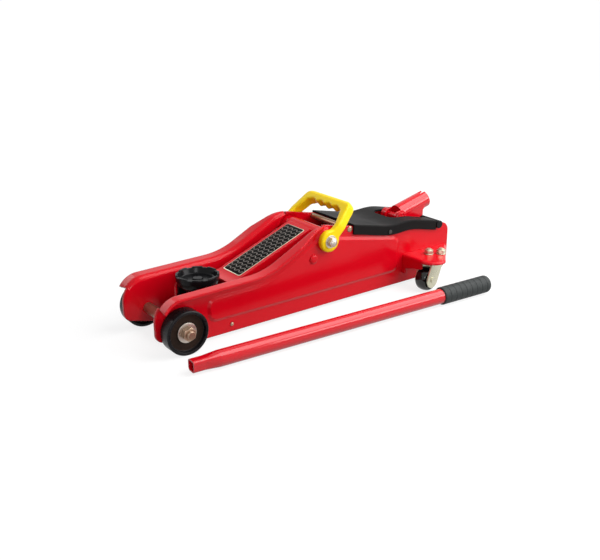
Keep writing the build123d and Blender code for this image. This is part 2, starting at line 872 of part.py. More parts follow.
def ram_cylinder():
    outer = cylinder_bore_radius + cylinder_wall
    return tube_x(outer, cylinder_bore_radius, reservoir_front + gland_spigot, block_front)


def unit_bolt_spots():
    xs = (block_front + unit_bolt_inset, block_rear - unit_bolt_inset)
    reach = block_half_width - unit_bolt_inset / 2
    return [(x, y) for x in xs for y in (-reach, reach)]


def pump_block():
    body = brick(block_front, block_rear, -block_half_width, block_half_width, block_bottom, block_top)
    body = fillet(body.edges().filter_by(Axis.Z), block_edge_radius)
    body = body + rod_x(0, unit_axis_height, reservoir_radius, block_front, block_front + block_flange)
    ear_root = Pos(socket_pivot[0], block_top - 1) * Rectangle(ear_foot_length, 2)
    ear_face = make_hull((Pos(*socket_pivot) * Circle(ear_radius) + ear_root).edges())
    ear = slab(ear_face, ear_inner, ear_inner + ear_thickness)
    body = body + ear + mirrored(ear)
    reach = ear_inner + ear_thickness + 1
    body = body - rod_y(socket_pivot, socket_pin_radius + fit, -reach, reach)
    body = body - rod_z(plunger_x, 0, plunger_radius + fit, plunger_foot - plunger_radius, block_top + 1)
    body = body - rod_x(0, valve_height, valve_radius + fit, block_rear - valve_depth, block_rear + 1)
    for x, y in unit_bolt_spots():
        body = body - rod_z(x, y, unit_bolt_radius + fit, block_bottom - 1, block_bottom + unit_bolt_depth)
    anchor_spot = (anchor_x, unit_axis_height)
    hole_end = reservoir_radius - anchor_bite
    hole = rod_y(anchor_spot, anchor_radius + fit, hole_end, reservoir_radius + 1)
    return body - hole - mirrored(hole)


def anchor_screw():
    spot = (anchor_x, unit_axis_height)
    shank = rod_y(spot, anchor_radius, reservoir_radius - anchor_bite, anchor_reach)
    return shank + rod_y(spot, anchor_head_radius, anchor_reach - anchor_head, anchor_reach)


def rear_base_plate():
    front = block_front - base_overhang
    rear = block_rear + base_overhang
    plate = brick(front, rear, -plate_inner, plate_inner, base_bottom, block_bottom)
    for x, y in unit_bolt_spots():
        plate = plate - rod_z(x, y, unit_bolt_radius + fit, base_bottom - 1, block_bottom + 1)
    return plate


def unit_bolts():
    bolts = []
    for x, y in unit_bolt_spots():
        head = extrude(RegularPolygon(unit_bolt_head_size / 2, 6, major_radius=False), unit_bolt_head)
        head = Pos(x, y, base_bottom - unit_bolt_head) * head
        shank = rod_z(x, y, unit_bolt_radius, base_bottom, block_bottom + unit_bolt_depth - 1)
        bolts.append((head + shank).solid())
    return Compound(bolts)


def release_valve():
    head_from = block_rear + valve_head_start
    head_to = head_from + valve_head_length
    stem = rod_x(0, valve_height, valve_radius, block_rear - valve_depth + 1, head_from)
    head = rod_x(0, valve_height, valve_head_radius, head_from, head_to)
    pin_spot = (head_to - 2 * valve_pin_radius - 1, valve_height)
    return stem + head + rod_y(pin_spot, valve_pin_radius, -valve_pin_reach, valve_pin_reach)


# Handle socket and pump plunger

def handle_socket():
    """Drawn along plus X from its pivot, then tilted up."""
    tube_length = socket_length - socket_tube_start
    tube_middle = (socket_length + socket_tube_start) / 2
    tube = Pos(tube_middle, 0, 0) * Rot(0, 90, 0) * Cylinder(socket_radius, tube_length)
    pin_angle = math.radians(socket_range / 2 + socket_tilt)
    pin = (plunger_throw * math.cos(pin_angle), -plunger_throw * math.sin(pin_angle))
    foot = plunger_tongue_radius
    eye = socket_eye_radius
    cheek = rounded([
        (-eye, eye, eye - 1),
        (socket_tube_start, eye, 0),
        (socket_tube_start + eye, 0, 0),
        *[(x, z, 1) for x, z in socket_heel],
        (pin[0] + foot, pin[1] - foot, foot - 1),
        (pin[0] - foot, pin[1] - foot, foot - 1),
        (-eye, -eye, eye - 1),
    ])
    side = slab(cheek, cheek_outer - socket_cheek, cheek_outer)
    socket = tube + side + mirrored(side)
    bore_from = socket_length - socket_bore_depth
    socket = socket - Pos((bore_from + socket_length + 1) / 2, 0, 0) * Rot(0, 90, 0) * Cylinder(
        socket_bore_radius, socket_bore_depth + 1
    )
    socket = socket - brick(
        socket_length - socket_notch_depth, socket_length + 1,
        -socket_notch_width / 2, socket_notch_width / 2, 0, socket_radius + 1,
    )
    socket = socket - rod_y((0, 0), socket_pin_radius + fit, -socket_radius, socket_radius)
    socket = socket - rod_y(pin, plunger_pin_radius + fit, -socket_radius, socket_radius)
    return Pos(socket_pivot[0], 0, socket_pivot[1]) * Rot(0, -socket_tilt, 0) * socket


def socket_pin():
    reach = ear_inner + ear_thickness
    return rod_y(socket_pivot, socket_pin_radius, -reach, reach)


def plunger_pin():
    return rod_y(plunger_pin_at, plunger_pin_radius, -cheek_outer, cheek_outer)


def pump_plunger():
    rod = rod_z(plunger_x, 0, plunger_radius, plunger_foot, plunger_pin_at[1])
    half = plunger_tongue_half_thickness
    spot = (plunger_x, plunger_pin_at[1])
    tongue = rod_y(spot, plunger_tongue_radius, -half, half)
    neck = brick(
        plunger_x - plunger_tongue_radius, plunger_x + plunger_tongue_radius, -half, half,
        block_top + seat_gap, plunger_pin_at[1],
    )
    play = plunger_throw * (1 - math.cos(half_swing)) / 2 + end_float
    slot_width = 2 * (plunger_pin_radius + end_float)
    slot = Pos(*spot) * SlotCenterToCenter(2 * play, slot_width)
    blank = rod + tongue + neck
    return blank - slab(slot, -plunger_radius - 1, plunger_radius + 1)


# Top cover

def cover_route(height, overrun):
    """Line that follows the plate's top edge at a height above it."""
    front = cover_front - overrun
    rear = cover_rear + overrun
    corners = [
        (front, line_height(hump, cover_dip, front)),
        cover_dip,
        cover_rise,
        (rear, line_height(cover_rise, (plate_rear, rear_top_height), rear)),
    ]
    return FilletPolyline(*[(x, z + height) for x, z in corners], radius=[dip_radius, dip_radius])


def cover_band(low, high, half_width, overrun):
    upper = cover_route(high, overrun)
    lower = cover_route(low, overrun)
    ends = [Line(lower @ 0, upper @ 0), Line(lower @ 1, upper @ 1)]
    return slab(make_face(upper.edges() + lower.edges() + ends), -half_width, half_width)


def top_cover():
    skirt_inner = plate_outer + end_float
    skirt_outer = skirt_inner + cover_wall
    high = seat_gap + cover_wall
    blank = cover_band(high - cover_skirt, high, skirt_outer, 0)
    roof_spots = [edge.center() for edge in cover_route(high, 0).edges()]
    rims = []
    for edge in blank.edges():
        middle = edge.center()
        on_skirt = abs(abs(middle.Y) - skirt_outer) < fit
        on_roof = any(math.hypot(middle.X - spot.X, middle.Z - spot.Y) < fit for spot in roof_spots)
        if on_skirt and on_roof:
            rims.append(edge)
    cover = fillet(rims, cover_edge_radius) - cover_band(-2 * cover_skirt, seat_gap, skirt_inner, cover_wall)
    open_end = cover_rear + 2 * window_corner
    opening = rounded([
        (window_front, -window_half_width, window_corner),
        (open_end, -window_half_width, 0),
        (open_end, window_half_width, 0),
        (window_front, window_half_width, window_corner),
    ])
    cover = cover - extrude(opening, 2 * hump[1])
    hole = rod_y(cover_screw, cover_screw_radius + fit, skirt_inner - 1, skirt_outer + 1)
    return cover - hole - mirrored(hole)


def cover_screw_solid():
    outside = plate_outer + end_float + cover_wall
    shank = rod_y(cover_screw, cover_screw_radius, plate_inner, outside)
    return shank + rod_y(cover_screw, cover_screw_head_radius, outside, outside + cover_screw_head)


# Caster brackets and casters

def caster_bracket():
    tip = plate_outer + shelf_reach
    plan = [
        (shelf_front, plate_outer, 0),
        (shelf_front, tip, shelf_front_radius),
        (shelf_front + shelf_end_length, tip, shelf_rear_radius),
        (shelf_rear, plate_outer, 0),
    ]
    shelf = extrude(rounded(plan), shelf_thickness)
    shelf = Pos(0, 0, shelf_top - shelf_thickness) * shelf
    wall = shelf_thickness
    inside = [
        (shelf_front + wall, plate_outer - wall, 0),
        (shelf_front + wall, tip - wall, shelf_front_radius - wall),
        (shelf_front + shelf_end_length, tip - wall, 0),
        (shelf_rear + shelf_reach, tip - wall, 0),
        (shelf_rear + shelf_reach, plate_outer - wall, 0),
    ]
    rim = extrude(rounded(plan) - rounded(inside), shelf_rim)
    rim = Pos(0, 0, shelf_top - shelf_rim) * rim
    low = shelf_top - gusset_drop
    web = [
        (plate_outer, shelf_top),
        (plate_outer, low),
        (plate_outer + gusset_foot, low),
        (plate_outer + gusset_foot, low + gusset_step),
        (tip - shelf_front_radius, shelf_top - shelf_rim),
        (tip - shelf_front_radius, shelf_top),
    ]
    gusset = extrude(Plane.YZ * make_face(Polyline(*web, close=True)), wall)
    bracket = shelf + rim + Pos(shelf_front, 0, 0) * gusset
    top_rims = [
        edge
        for edge in bracket.edges().group_by(Axis.Z)[-1]
        if edge.center().Y > plate_outer + fit
    ]
    bracket = fillet(top_rims, shelf_edge_radius)
    for x, y in caster_stud_spots:
        bracket = bracket - rod_z(x, y, caster_stud_radius + fit, 0, shelf_top + 1)
    return bracket


plate_low = shelf_top - shelf_thickness - caster_plate_thickness
fork_top = plate_low - end_float
fork_deck = fork_top - fork_race_height


def caster_plate():
    spots = [(caster_x, caster_y)] + list(caster_stud_spots)
    pads = [Pos(*spot) * Circle(caster_stud_radius * 2) for spot in spots[1:]]
    outline = make_hull((pads[0] + pads[1] + Pos(*spots[0]) * Circle(caster_plate_radius)).edges())
    plate = Pos(0, 0, plate_low) * extrude(outline, caster_plate_thickness)
    tip = shelf_top + caster_washer_thickness + caster_nut_height + stud_overhang
    for x, y in caster_stud_spots:
        plate = plate + rod_z(x, y, caster_stud_radius, plate_low, tip)
    return plate - rod_z(caster_x, caster_y, kingpin_radius + fit, plate_low - 1, shelf_top)


def caster_nuts(low, solid):
    right = [Pos(x, y, low) * solid for x, y in caster_stud_spots]
    return Compound([piece.solid() for piece in right] + [mirrored(piece).solid() for piece in right])


def kingpin():
    head_top = fork_deck - fork_sheet - end_float
    head_low = head_top - kingpin_head
    pin = rod_z(caster_x, caster_y, kingpin_radius, head_low, plate_low + caster_plate_thickness)
    return pin + rod_z(caster_x, caster_y, kingpin_head_radius, head_low, head_top)


def in_caster(solid):
    """Place a solid drawn about the swivel axis, trailing along plus X."""
    return Pos(caster_x, caster_y, 0) * Rot(0, 0, caster_angle) * solid


def caster_fork():
    half = caster_wheel_width / 2 + fork_side_gap
    axle = (caster_trail, caster_wheel_radius)
    deck_low = fork_deck - fork_sheet
    brow_middle = (fork_brow_front + fork_brow_rear) / 2
    brow_length = fork_brow_rear - fork_brow_front
    deck_face = Circle(fork_race_radius + 1) + Pos(brow_middle, 0) * Rectangle(brow_length, 2 * half)
    deck = Pos(0, 0, deck_low) * extrude(make_hull(deck_face.edges()), fork_sheet)
    race = Pos(0, 0, fork_deck) * extrude(Circle(fork_race_radius), fork_race_height)
    brow = Pos(brow_middle, fork_deck - fork_sheet / 2) * Rectangle(brow_length, fork_sheet)
    cheek_face = make_hull((Pos(*axle) * Circle(fork_foot_radius) + brow).edges())
    cheek = slab(cheek_face, half, half + fork_sheet)
    cheek = cheek - rod_y(axle, fork_axle_radius + fit, half - 1, half + fork_sheet + 1)
    fork = deck + race + cheek + mirrored(cheek)
    return in_caster(fork - rod_z(0, 0, kingpin_radius + fit, 0, shelf_top))


def caster_axle():
    spot = (caster_trail, caster_wheel_radius)
    reach = caster_wheel_width / 2 + fork_side_gap + fork_sheet
    pin = rod_y(spot, fork_axle_radius, -reach, reach)
    head = rod_y(spot, fork_axle_head_radius, reach, reach + fork_axle_head)
    return in_caster(pin + head + mirrored(head))


def caster_wheel():
    half = caster_wheel_width / 2
    radius = caster_wheel_radius
    deep = half - caster_dish_depth
    right = [
        (radius, 0),
        (radius - caster_tread_crown / 2, half - caster_edge),
        (radius - caster_edge, half),
        (caster_dish_radius + 1, half),
        (caster_dish_radius, deep),
        (caster_hub_radius + 1, deep),
        (caster_hub_radius, half),
        (fork_axle_radius + fit, half),
    ]
    left = [(r, -y) for r, y in reversed(right[1:])]
    return in_caster(on_side(turned(left + right), (caster_trail, radius)))


# Return springs: each one unbroken wire, hooked to the roller pin and to an anchor screw

def biarc(start, start_way, end, end_way):
    """Two tangent arcs, or a straight line, between points with given directions."""
    gap = end - start
    if gap.normalized().dot(start_way) > 0.999999 and gap.normalized().dot(end_way) > 0.999999:
        return [Edge.make_line(start, end)]
    both = start_way + end_way
    curve = 2 * (1 - start_way.dot(end_way))
    along = gap.dot(both)
    reach = 0
    if curve > 0.000001:
        reach = (math.sqrt(along * along + curve * gap.dot(gap)) - along) / curve
    middle = (start + end + (start_way - end_way) * reach) * 0.5
    first = Edge.make_tangent_arc(start, start_way, middle)
    second = Edge.make_tangent_arc(middle, first % 1, end)
    return [first, second]


def spring_route():
    """Points and directions along the right spring's wire, straight for one diameter at both ends."""
    coil = spring_coil_radius
    hook_front = roller_pin_end_radius + spring_wire / 2 + end_float
    hook_rear = anchor_radius + spring_wire / 2 + end_float
    front = Vector(roller_at[0], spring_y, roller_at[1])
    rear = Vector(anchor_x, spring_y, unit_axis_height)
    axis_z = (front.Z + rear.Z) / 2
    coil_length = spring_turns * spring_pitch
    coil_from = (front.X + rear.X - coil_length) / 2
    rise = spring_pitch / (2 * math.pi * coil)
    ahead = Vector(1, 0, 0)
    route = [(front + Vector(spring_wire, 0, -hook_front), ahead * -1)]
    for angle in (270, 180, 90):
        turn = math.radians(angle)
        way = Vector(math.sin(turn), 0, -math.cos(turn))
        route.append((front + Vector(math.cos(turn), 0, math.sin(turn)) * hook_front, way))
    lead = coil_from - 2 * spring_bend_radius
    route.append((Vector(lead, spring_y - spring_bend_radius, axis_z + coil), ahead))
    quarter = math.pi / 2
    for step in range(4 * spring_turns + 1):
        turn = step * quarter
        spot = Vector(
            coil_from + spring_pitch * step / 4,
            spring_y + coil * math.sin(turn),
            axis_z + coil * math.cos(turn),
        )
        way = Vector(rise, math.cos(turn), -math.sin(turn)).normalized()
        route.append((spot, way))
    tail = coil_from + coil_length + 2 * spring_bend_radius
    route.append((Vector(tail, spring_y + spring_bend_radius, axis_z + coil), ahead))
    for angle in (90, 0, -90):
        turn = math.radians(angle)
        way = Vector(math.sin(turn), 0, -math.cos(turn))
        route.append((rear + Vector(math.cos(turn), 0, math.sin(turn)) * hook_rear, way))
    route.append((rear + Vector(-spring_wire, 0, -hook_rear), ahead * -1))
    return route


def least_gap(path):
    """Smallest clearance, on points along the wire, between stretches that are not neighbours."""
    count = spring_gap_points
    spots = [path @ (step / count) for step in range(count + 1)]
    skip = math.ceil(count * math.pi * spring_wire / path.length)
    nearest = min(
        (spots[first] - spots[second]).length
        for first in range(count + 1)
        for second in range(first + skip, count + 1)
    )
    return nearest - spring_wire


def return_spring():
    route = spring_route()
    edges = []
    for (start, start_way), (end, end_way) in zip(route, route[1:]):
        edges += biarc(start, start_way, end, end_way)
    path = Wire(edges)
    section = Plane(origin=route[0][0], z_dir=route[0][1]) * Circle(spring_wire / 2)
    spring = sweep(section, path=path)
    tube_volume = path.length * math.pi * spring_wire ** 2 / 4
    print("spring: least gap to itself", round(least_gap(path), 2))
    print("spring: volume over that of its wire", round(spring.volume / tube_volume, 4))
    return spring


# Pump handle

def handle_plane():
    run = math.hypot(handle_rear[0] - handle_front[0], handle_rear[1] - handle_front[1])
    tube_rests_at = handle_square_length + handle_swage
    climb = (grip_radius - handle_tube_radius) / (run - grip_length - tube_rests_at)
    front = Vector(*handle_front, handle_tube_radius - climb * tube_rests_at)
    rear = Vector(*handle_rear, front.Z + climb * run)
    way = (rear - front).normalized()
    return Plane(origin=front, x_dir=Vector(0, 0, 1).cross(way), z_dir=way), (rear - front).length


def handle_body(square, corner, radius, length):
    """Squared end, swage and round tube, drawn along Z."""
    swage_end = handle_square_length + handle_swage
    end_face = RectangleRounded(square, square, corner)
    lower = extrude(end_face, handle_square_length)
    middle = loft([Pos(0, 0, handle_square_length) * end_face, Pos(0, 0, swage_end) * Circle(radius)])
    upper = Pos(0, 0, swage_end) * extrude(Circle(radius), length - swage_end)
    return lower + middle + upper


def handle_tube():
    plane, length = handle_plane()
    wall = handle_tube_wall
    tube_end = length - grip_end_wall
    outside = handle_body(handle_square, handle_square_corner, handle_tube_radius, tube_end)
    inside = handle_body(
        handle_square - 2 * wall, handle_square_corner - wall, handle_tube_radius - wall, tube_end + 1
    )
    return plane * (outside - inside)


def handle_grip():
    plane, length = handle_plane()
    start = length - grip_length
    grip = extrude(Circle(grip_radius), grip_length)
    grip = fillet(grip.edges().sort_by(Axis.Z)[-1], grip_end_radius)
    bore = extrude(Circle(handle_tube_radius + fit), grip_length - grip_end_wall)
    return plane * Pos(0, 0, start) * (grip - bore)


# All nodes

def left_right(name, solid):
    return {"left_" + name: mirrored(solid), "right_" + name: solid}


def build_nodes():
    nodes = {}
    nodes.update(left_right("side_plate", side_plate()))
    nodes["front_axle"] = front_axle()
    nodes.update(left_right("front_wheel", front_wheel()))
    nodes["axle_washers"] = pair(axle_washer())
    nodes["axle_nuts"] = pair(axle_nut())
    nodes["front_tie_rod"] = tie_rod(
        front_tie, front_tie_radius, front_tie_end_radius, front_tie_head_radius, front_tie_head_height
    )
    nodes["upper_tie_rod"] = tie_rod(
        upper_tie, upper_tie_radius, upper_tie_end_radius, upper_tie_head_radius, upper_tie_head_height
    )
    nodes["rear_cross_bar"] = rear_cross_bar()
    nodes["main_pivot_shaft"] = main_pivot_shaft()
    nodes["pivot_washers"] = pair(pivot_washer())
    nodes["pivot_nuts"] = pair(pivot_nut())
    nodes["carry_handle"] = carry_handle()
    nodes["lift_arm"] = lift_arm()
    nodes["saddle_pivot_pin"] = saddle_pin()
    nodes["pin_rings"] = pair(pin_ring())
    nodes["roller_pin"] = roller_pin()
    nodes["ram_roller"] = ram_roller()
    nodes.update(left_right("link_bar", link_bar()))
    nodes["link_rivets"] = pair(link_rivet())
    nodes["saddle_bracket"] = saddle_bracket()
    nodes["link_pin"] = link_pin()
    nodes["saddle"] = saddle()
    nodes["saddle_ring"] = saddle_ring()
    nodes["ram"] = ram()
    nodes["gland_nut"] = gland_nut()
    nodes["reservoir"] = reservoir()
    nodes["filler_plug"] = filler_plug()
    nodes["ram_cylinder"] = ram_cylinder()
    nodes["pump_block"] = pump_block()
    nodes["spring_anchors"] = pair(anchor_screw())
    nodes["rear_base_plate"] = rear_base_plate()
    nodes["unit_bolts"] = unit_bolts()
    nodes["release_valve"] = release_valve()
    nodes["handle_socket"] = handle_socket()
    nodes["socket_pin"] = socket_pin()
    nodes["plunger_pin"] = plunger_pin()
    nodes["pump_plunger"] = pump_plunger()
    nodes["top_cover"] = top_cover()
    nodes["cover_screws"] = pair(cover_screw_solid())
    nodes.update(left_right("caster_bracket", caster_bracket()))
    nodes.update(left_right("caster_plate", caster_plate()))
    stud_washer = washer(caster_washer_radius, caster_stud_radius + fit, caster_washer_thickness)
    nodes["caster_washers"] = caster_nuts(shelf_top, stud_washer)
    stud_nut = hex_nut(caster_nut_size, caster_nut_height, caster_stud_radius + fit)
    nodes["caster_nuts"] = caster_nuts(shelf_top + caster_washer_thickness, stud_nut)
    nodes["kingpins"] = pair(kingpin())
    nodes.update(left_right("caster_fork", caster_fork()))
    nodes.update(left_right("caster_axle", caster_axle()))
    nodes.update(left_right("caster_wheel", caster_wheel()))
    nodes["return_springs"] = pair(return_spring())
    nodes["handle_tube"] = handle_tube()
    nodes["handle_grip"] = handle_grip()
    return nodes


nodes = build_nodes()
box = Compound([solid for shape in nodes.values() for solid in shape.solids()]).bounding_box()
frame_shift = Vector(-box.center().X, -box.center().Y, -box.min.Z)
print("shift to the frame", frame_shift)
os.makedirs("parts", exist_ok=True)
for name, shape in nodes.items():
    export_step(Pos(frame_shift) * shape, "parts/" + name + ".step")
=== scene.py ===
import json
import math

import bmesh
import bpy
from mathutils import Matrix, Vector


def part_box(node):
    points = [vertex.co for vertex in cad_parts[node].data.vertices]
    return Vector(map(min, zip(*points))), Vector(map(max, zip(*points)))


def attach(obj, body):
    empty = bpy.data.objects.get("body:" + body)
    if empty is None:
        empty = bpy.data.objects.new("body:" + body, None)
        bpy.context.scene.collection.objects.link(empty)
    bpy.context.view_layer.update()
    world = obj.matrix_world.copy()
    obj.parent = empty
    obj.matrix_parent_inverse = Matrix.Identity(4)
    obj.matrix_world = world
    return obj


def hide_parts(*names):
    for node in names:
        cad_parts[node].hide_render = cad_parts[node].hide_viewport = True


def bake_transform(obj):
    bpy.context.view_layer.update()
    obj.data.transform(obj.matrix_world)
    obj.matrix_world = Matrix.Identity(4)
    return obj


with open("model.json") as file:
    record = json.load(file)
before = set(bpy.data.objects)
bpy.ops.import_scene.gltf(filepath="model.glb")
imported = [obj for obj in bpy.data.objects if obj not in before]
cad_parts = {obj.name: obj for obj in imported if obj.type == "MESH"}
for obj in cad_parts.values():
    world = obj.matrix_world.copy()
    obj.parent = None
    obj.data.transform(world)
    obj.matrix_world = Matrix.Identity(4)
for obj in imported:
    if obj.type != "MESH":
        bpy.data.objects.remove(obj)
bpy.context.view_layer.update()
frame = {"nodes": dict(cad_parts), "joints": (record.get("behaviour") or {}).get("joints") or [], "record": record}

bl_info = {
    "name": "Trolley jack looks",
    "version": (1, 0, 0),
    "blender": (4, 5, 0),
    "location": "View3D > Sidebar > Jack",
    "description": "Finishes and fine fittings for a low trolley jack with a loose pump handle",
    "category": "Object",
}

MM = 0.001
TURN = 2 * math.pi
SIDES = (-1, 1)


def linear(code):
    """Linear colour with alpha from an sRGB hex code."""
    parts = [int(code[i:i + 2], 16) / 255 for i in (0, 2, 4)]
    return tuple(c / 12.92 if c <= 0.04045 else ((c + 0.055) / 1.055) ** 2.4 for c in parts) + (1.0,)


def middle(node):
    """Middle of a solid's box."""
    low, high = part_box(node)
    return (Vector(low) + Vector(high)) / 2


axle_middle = middle("front_axle")


def spot(x, y, z):
    """Place in the model's frame of a point given in millimetres from the floor under the front axle."""
    return Vector((axle_middle.x + x * MM, axle_middle.y + y * MM, z * MM))


def reach_out(node, centre):
    """Millimetres from a centre plane to a solid's outermost face on the right."""
    return (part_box(node)[1][1] - centre.y) / MM


# Sizes and colours that a user would change

def length(name, text, value_mm):
    return bpy.props.FloatProperty(name=name, description=text, default=value_mm * MM, unit="LENGTH", min=0.0)


def colour(name, text, code):
    return bpy.props.FloatVectorProperty(
        name=name, description=text, default=linear(code), size=4, subtype="COLOR", min=0.0, max=1.0
    )


def number(name, text, value, least, most):
    return bpy.props.IntProperty(name=name, description=text, default=value, min=least, max=most)


class JackColours(bpy.types.PropertyGroup):
    enamel: colour("Red enamel", "Gloss paint of the plates, arm, socket and handle tube", "CC0518")
    yellow: colour("Yellow plastic", "Moulded carry handle", "F0CE12")
    cover: colour("Black cover", "Moulded top cover", "1E1D1D")
    grip: colour("Grip rubber", "Sleeve on the pump handle", "2F3232")
    black: colour("Black enamel", "Saddle and rear bar", "0E0E10")
    rust: colour("Wheel disc", "Dark brown dish of the front wheels", "281D17")
    copper: colour("Copper tone", "Plated axle and tie rods", "A08672")
    zinc: colour("Yellow zinc", "Plated caster forks, nuts and studs", "C8C5AE")
    bright: colour("Bright zinc", "Washers and domed nuts", "BDB4AA")
    steel: colour("Plain steel", "Pins, rollers and cylinder", "8E8F92")
    caster: colour("Caster tyre", "Gloss moulded caster wheels", "07080A")


class JackSizes(bpy.types.PropertyGroup):
    edge: length("Edge softness", "Radius of broken edges on small fittings", 0.6)
    thread_pitch: length("Thread pitch", "Pitch of the stud and axle threads", 1.5)
    thread_depth: length("Thread depth", "Depth of the stud and axle threads", 0.45)
    rib_pitch: length("Grip rib pitch", "Distance between the grip's grooves", 11.0)
    rib_depth: length("Grip rib depth", "Depth of the grip's grooves", 0.55)
    spring_wire: length("Spring wire", "Wire thickness of the return springs", 2.0)
    spring_coil: length("Spring coil", "Mean coil radius of the return springs", 4.6)
    spring_turns: number("Spring turns", "Turns in each return spring", 18, 4, 40)
    lug_count: number("Saddle lugs", "Raised lugs round the saddle's rim", 8, 3, 16)


def colours():
    return bpy.context.scene.jack_colours


def sizes():
    return bpy.context.scene.jack_sizes


# Materials

def add(tree, kind, links=None, **settings):
    """Add a node, set its properties, then its inputs from values or from other nodes' outputs."""
    made = tree.nodes.new(kind)
    for key, value in settings.items():
        setattr(made, key, value)
    for key, value in (links or {}).items():
        if isinstance(value, bpy.types.NodeSocket):
            tree.links.new(value, made.inputs[key])
        else:
            made.inputs[key].default_value = value
    return made


def finish(
    name, tint, rough, spread, grain_mm, bump,
    level=0.5, metallic=0.0, mottle=0.06, mottle_mm=40.0, edge_mm=None,
):
    """Material with a cloudy tint, uneven gloss, a fine grain and softly broken edges, all at real sizes."""
    made = bpy.data.materials.get(name)
    if made:
        return made
    made = bpy.data.materials.new(name)
    made.use_nodes = True
    tree = made.node_tree
    tree.nodes.clear()
    edge = sizes().edge if edge_mm is None else edge_mm * MM
    grain_depth = 0.2 * MM
    place = add(tree, "ShaderNodeTexCoord").outputs["Object"]
    clouds = add(tree, "ShaderNodeTexNoise", {"Vector": place, "Scale": 1 / (mottle_mm * MM), "Detail": 3.0})
    grain = add(tree, "ShaderNodeTexNoise", {"Vector": place, "Scale": 1 / (grain_mm * MM), "Detail": 2.0})
    dark = [c * (1 - mottle) for c in tint[:3]] + [1.0]
    pale = [min(1.0, c * (1 + mottle)) for c in tint[:3]] + [1.0]
    shade = add(tree, "ShaderNodeMix", {0: clouds.outputs["Fac"], 6: dark, 7: pale}, data_type="RGBA")
    gloss = add(tree, "ShaderNodeMapRange", {
        "Value": clouds.outputs["Fac"],
        "From Min": 0.3, "From Max": 0.7,
        "To Min": rough - spread, "To Max": rough + spread,
    })
    broken = add(tree, "ShaderNodeBevel", {"Radius": edge}, samples=6)
    relief = add(tree, "ShaderNodeBump", {
        "Height": grain.outputs["Fac"],
        "Strength": bump,
        "Distance": grain_depth,
        "Normal": broken.outputs["Normal"],
    })
    shader = add(tree, "ShaderNodeBsdfPrincipled", {
        "Base Color": shade.outputs[2],
        "Roughness": gloss.outputs["Result"],
        "Normal": relief.outputs["Normal"],
        "Metallic": metallic,
        "Specular IOR Level": level,
    })
    add(tree, "ShaderNodeOutputMaterial", {"Surface": shader.outputs["BSDF"]})
    made.diffuse_color = tint
    return made


def red_enamel():
    """Sprayed gloss enamel on steel: deep even red, soft orange peel about 3 mm across."""
    return finish(
        "Red_gloss_enamel", colours().enamel, rough=0.15, spread=0.03, grain_mm=3.0, bump=0.03,
        level=0.18, mottle=0.03, mottle_mm=90.0, edge_mm=2.5,
    )


def tube_enamel():
    """Gloss enamel on drawn tube: the smooth round takes a broad shine."""
    return finish(
        "Red_tube_enamel", colours().enamel, rough=0.12, spread=0.02, grain_mm=3.0, bump=0.02,
        level=0.45, mottle=0.03, mottle_mm=90.0,
    )


def black_enamel():
    """Dipped black enamel on castings: glossy, with faint runs and a grainy skin."""
    return finish(
        "Black_dipped_enamel", colours().black, rough=0.24, spread=0.05, grain_mm=1.6, bump=0.08,
        level=0.12, mottle=0.15, edge_mm=0.8,
    )


def wheel_rim():
    """Black paint on the rolled rim, with pale grey specks: partly the rough casting's own tone, partly painted
    glints.
    """
    return finish(
        "Rubbed_black_wheel_paint", linear("151416"), rough=0.32, spread=0.1, grain_mm=1.6, bump=0.3,
        # Mottle this strong paints pale specks about 4 mm across that stand partly for glints off the rough
        # casting.
        level=0.15, mottle=0.8, mottle_mm=4.0, edge_mm=0.8,
    )


def wheel_disc():
    """Dark brown primer showing through thin black paint on the wheel's dish, with pale specks that are partly the
    rough casting's own tone and partly painted glints.
    """
    return finish(
        "Brown_primer_on_steel", colours().rust, rough=0.46, spread=0.08, grain_mm=1.6, bump=0.2,
        # Mottle this strong paints pale specks about 5 mm across that stand partly for glints off the rough
        # casting.
        level=0.1, mottle=0.45, mottle_mm=5.0,
    )


def cover_plastic():
    """Spark-textured ABS: dark, even, with a fine matt grain."""
    return finish(
        "Black_textured_ABS", colours().cover, rough=0.42, spread=0.05, grain_mm=0.9, bump=0.12,
        level=0.02, edge_mm=1.2,
    )


def yellow_plastic():
    """Moulded polypropylene: bright, slightly waxy gloss."""
    return finish(
        "Yellow_moulded_polypropylene", colours().yellow, rough=0.3, spread=0.05, grain_mm=1.5, bump=0.05,
        level=0.15, mottle=0.03, mottle_mm=30.0,
    )


def grip_rubber():
    """Dipped PVC rubber: dull, soft grain."""
    return finish(
        "Black_grip_rubber", colours().grip, rough=0.55, spread=0.06, grain_mm=0.8, bump=0.3,
        level=0.2, mottle=0.08,
    )


def copper_plate():
    """Copper-toned plating on turned rod: warm, half dull."""
    return finish(
        "Copper_toned_plating", colours().copper, rough=0.34, spread=0.08, grain_mm=0.9, bump=0.1,
        metallic=0.85, mottle=0.14, mottle_mm=9.0,
    )


def yellow_zinc():
    """Chromated zinc: pale straw with drifts of warmer tint."""
    return finish(
        "Yellow_zinc_plating", colours().zinc, rough=0.3, spread=0.07, grain_mm=1.0, bump=0.08,
        metallic=0.85, mottle=0.12, mottle_mm=11.0,
    )


def bright_zinc():
    """Clear zinc: pale grey, brushed by barrel plating."""
    return finish(
        "Bright_zinc_plating", colours().bright, rough=0.3, spread=0.06, grain_mm=0.9, bump=0.08,
        metallic=0.9, mottle=0.08, mottle_mm=8.0,
    )


def plain_steel():
    """Turned steel with a film of oil."""
    return finish(
        "Oiled_turned_steel", colours().steel, rough=0.34, spread=0.08, grain_mm=0.7, bump=0.12,
        metallic=1.0, mottle=0.1, mottle_mm=12.0,
    )


def ground_steel():
    """Ground and polished ram steel: bright, hardly any grain."""
    return finish(
        "Ground_ram_steel", linear("C8C9CC"), rough=0.16, spread=0.03, grain_mm=0.6, bump=0.03,
        metallic=1.0, mottle=0.04,
    )


def spring_steel():
    """Drawn spring wire, blued by heat and oiled."""
    return finish(
        "Oiled_spring_wire", linear("55565A"), rough=0.36, spread=0.06, grain_mm=0.7, bump=0.1,
        metallic=1.0, mottle=0.12,
    )


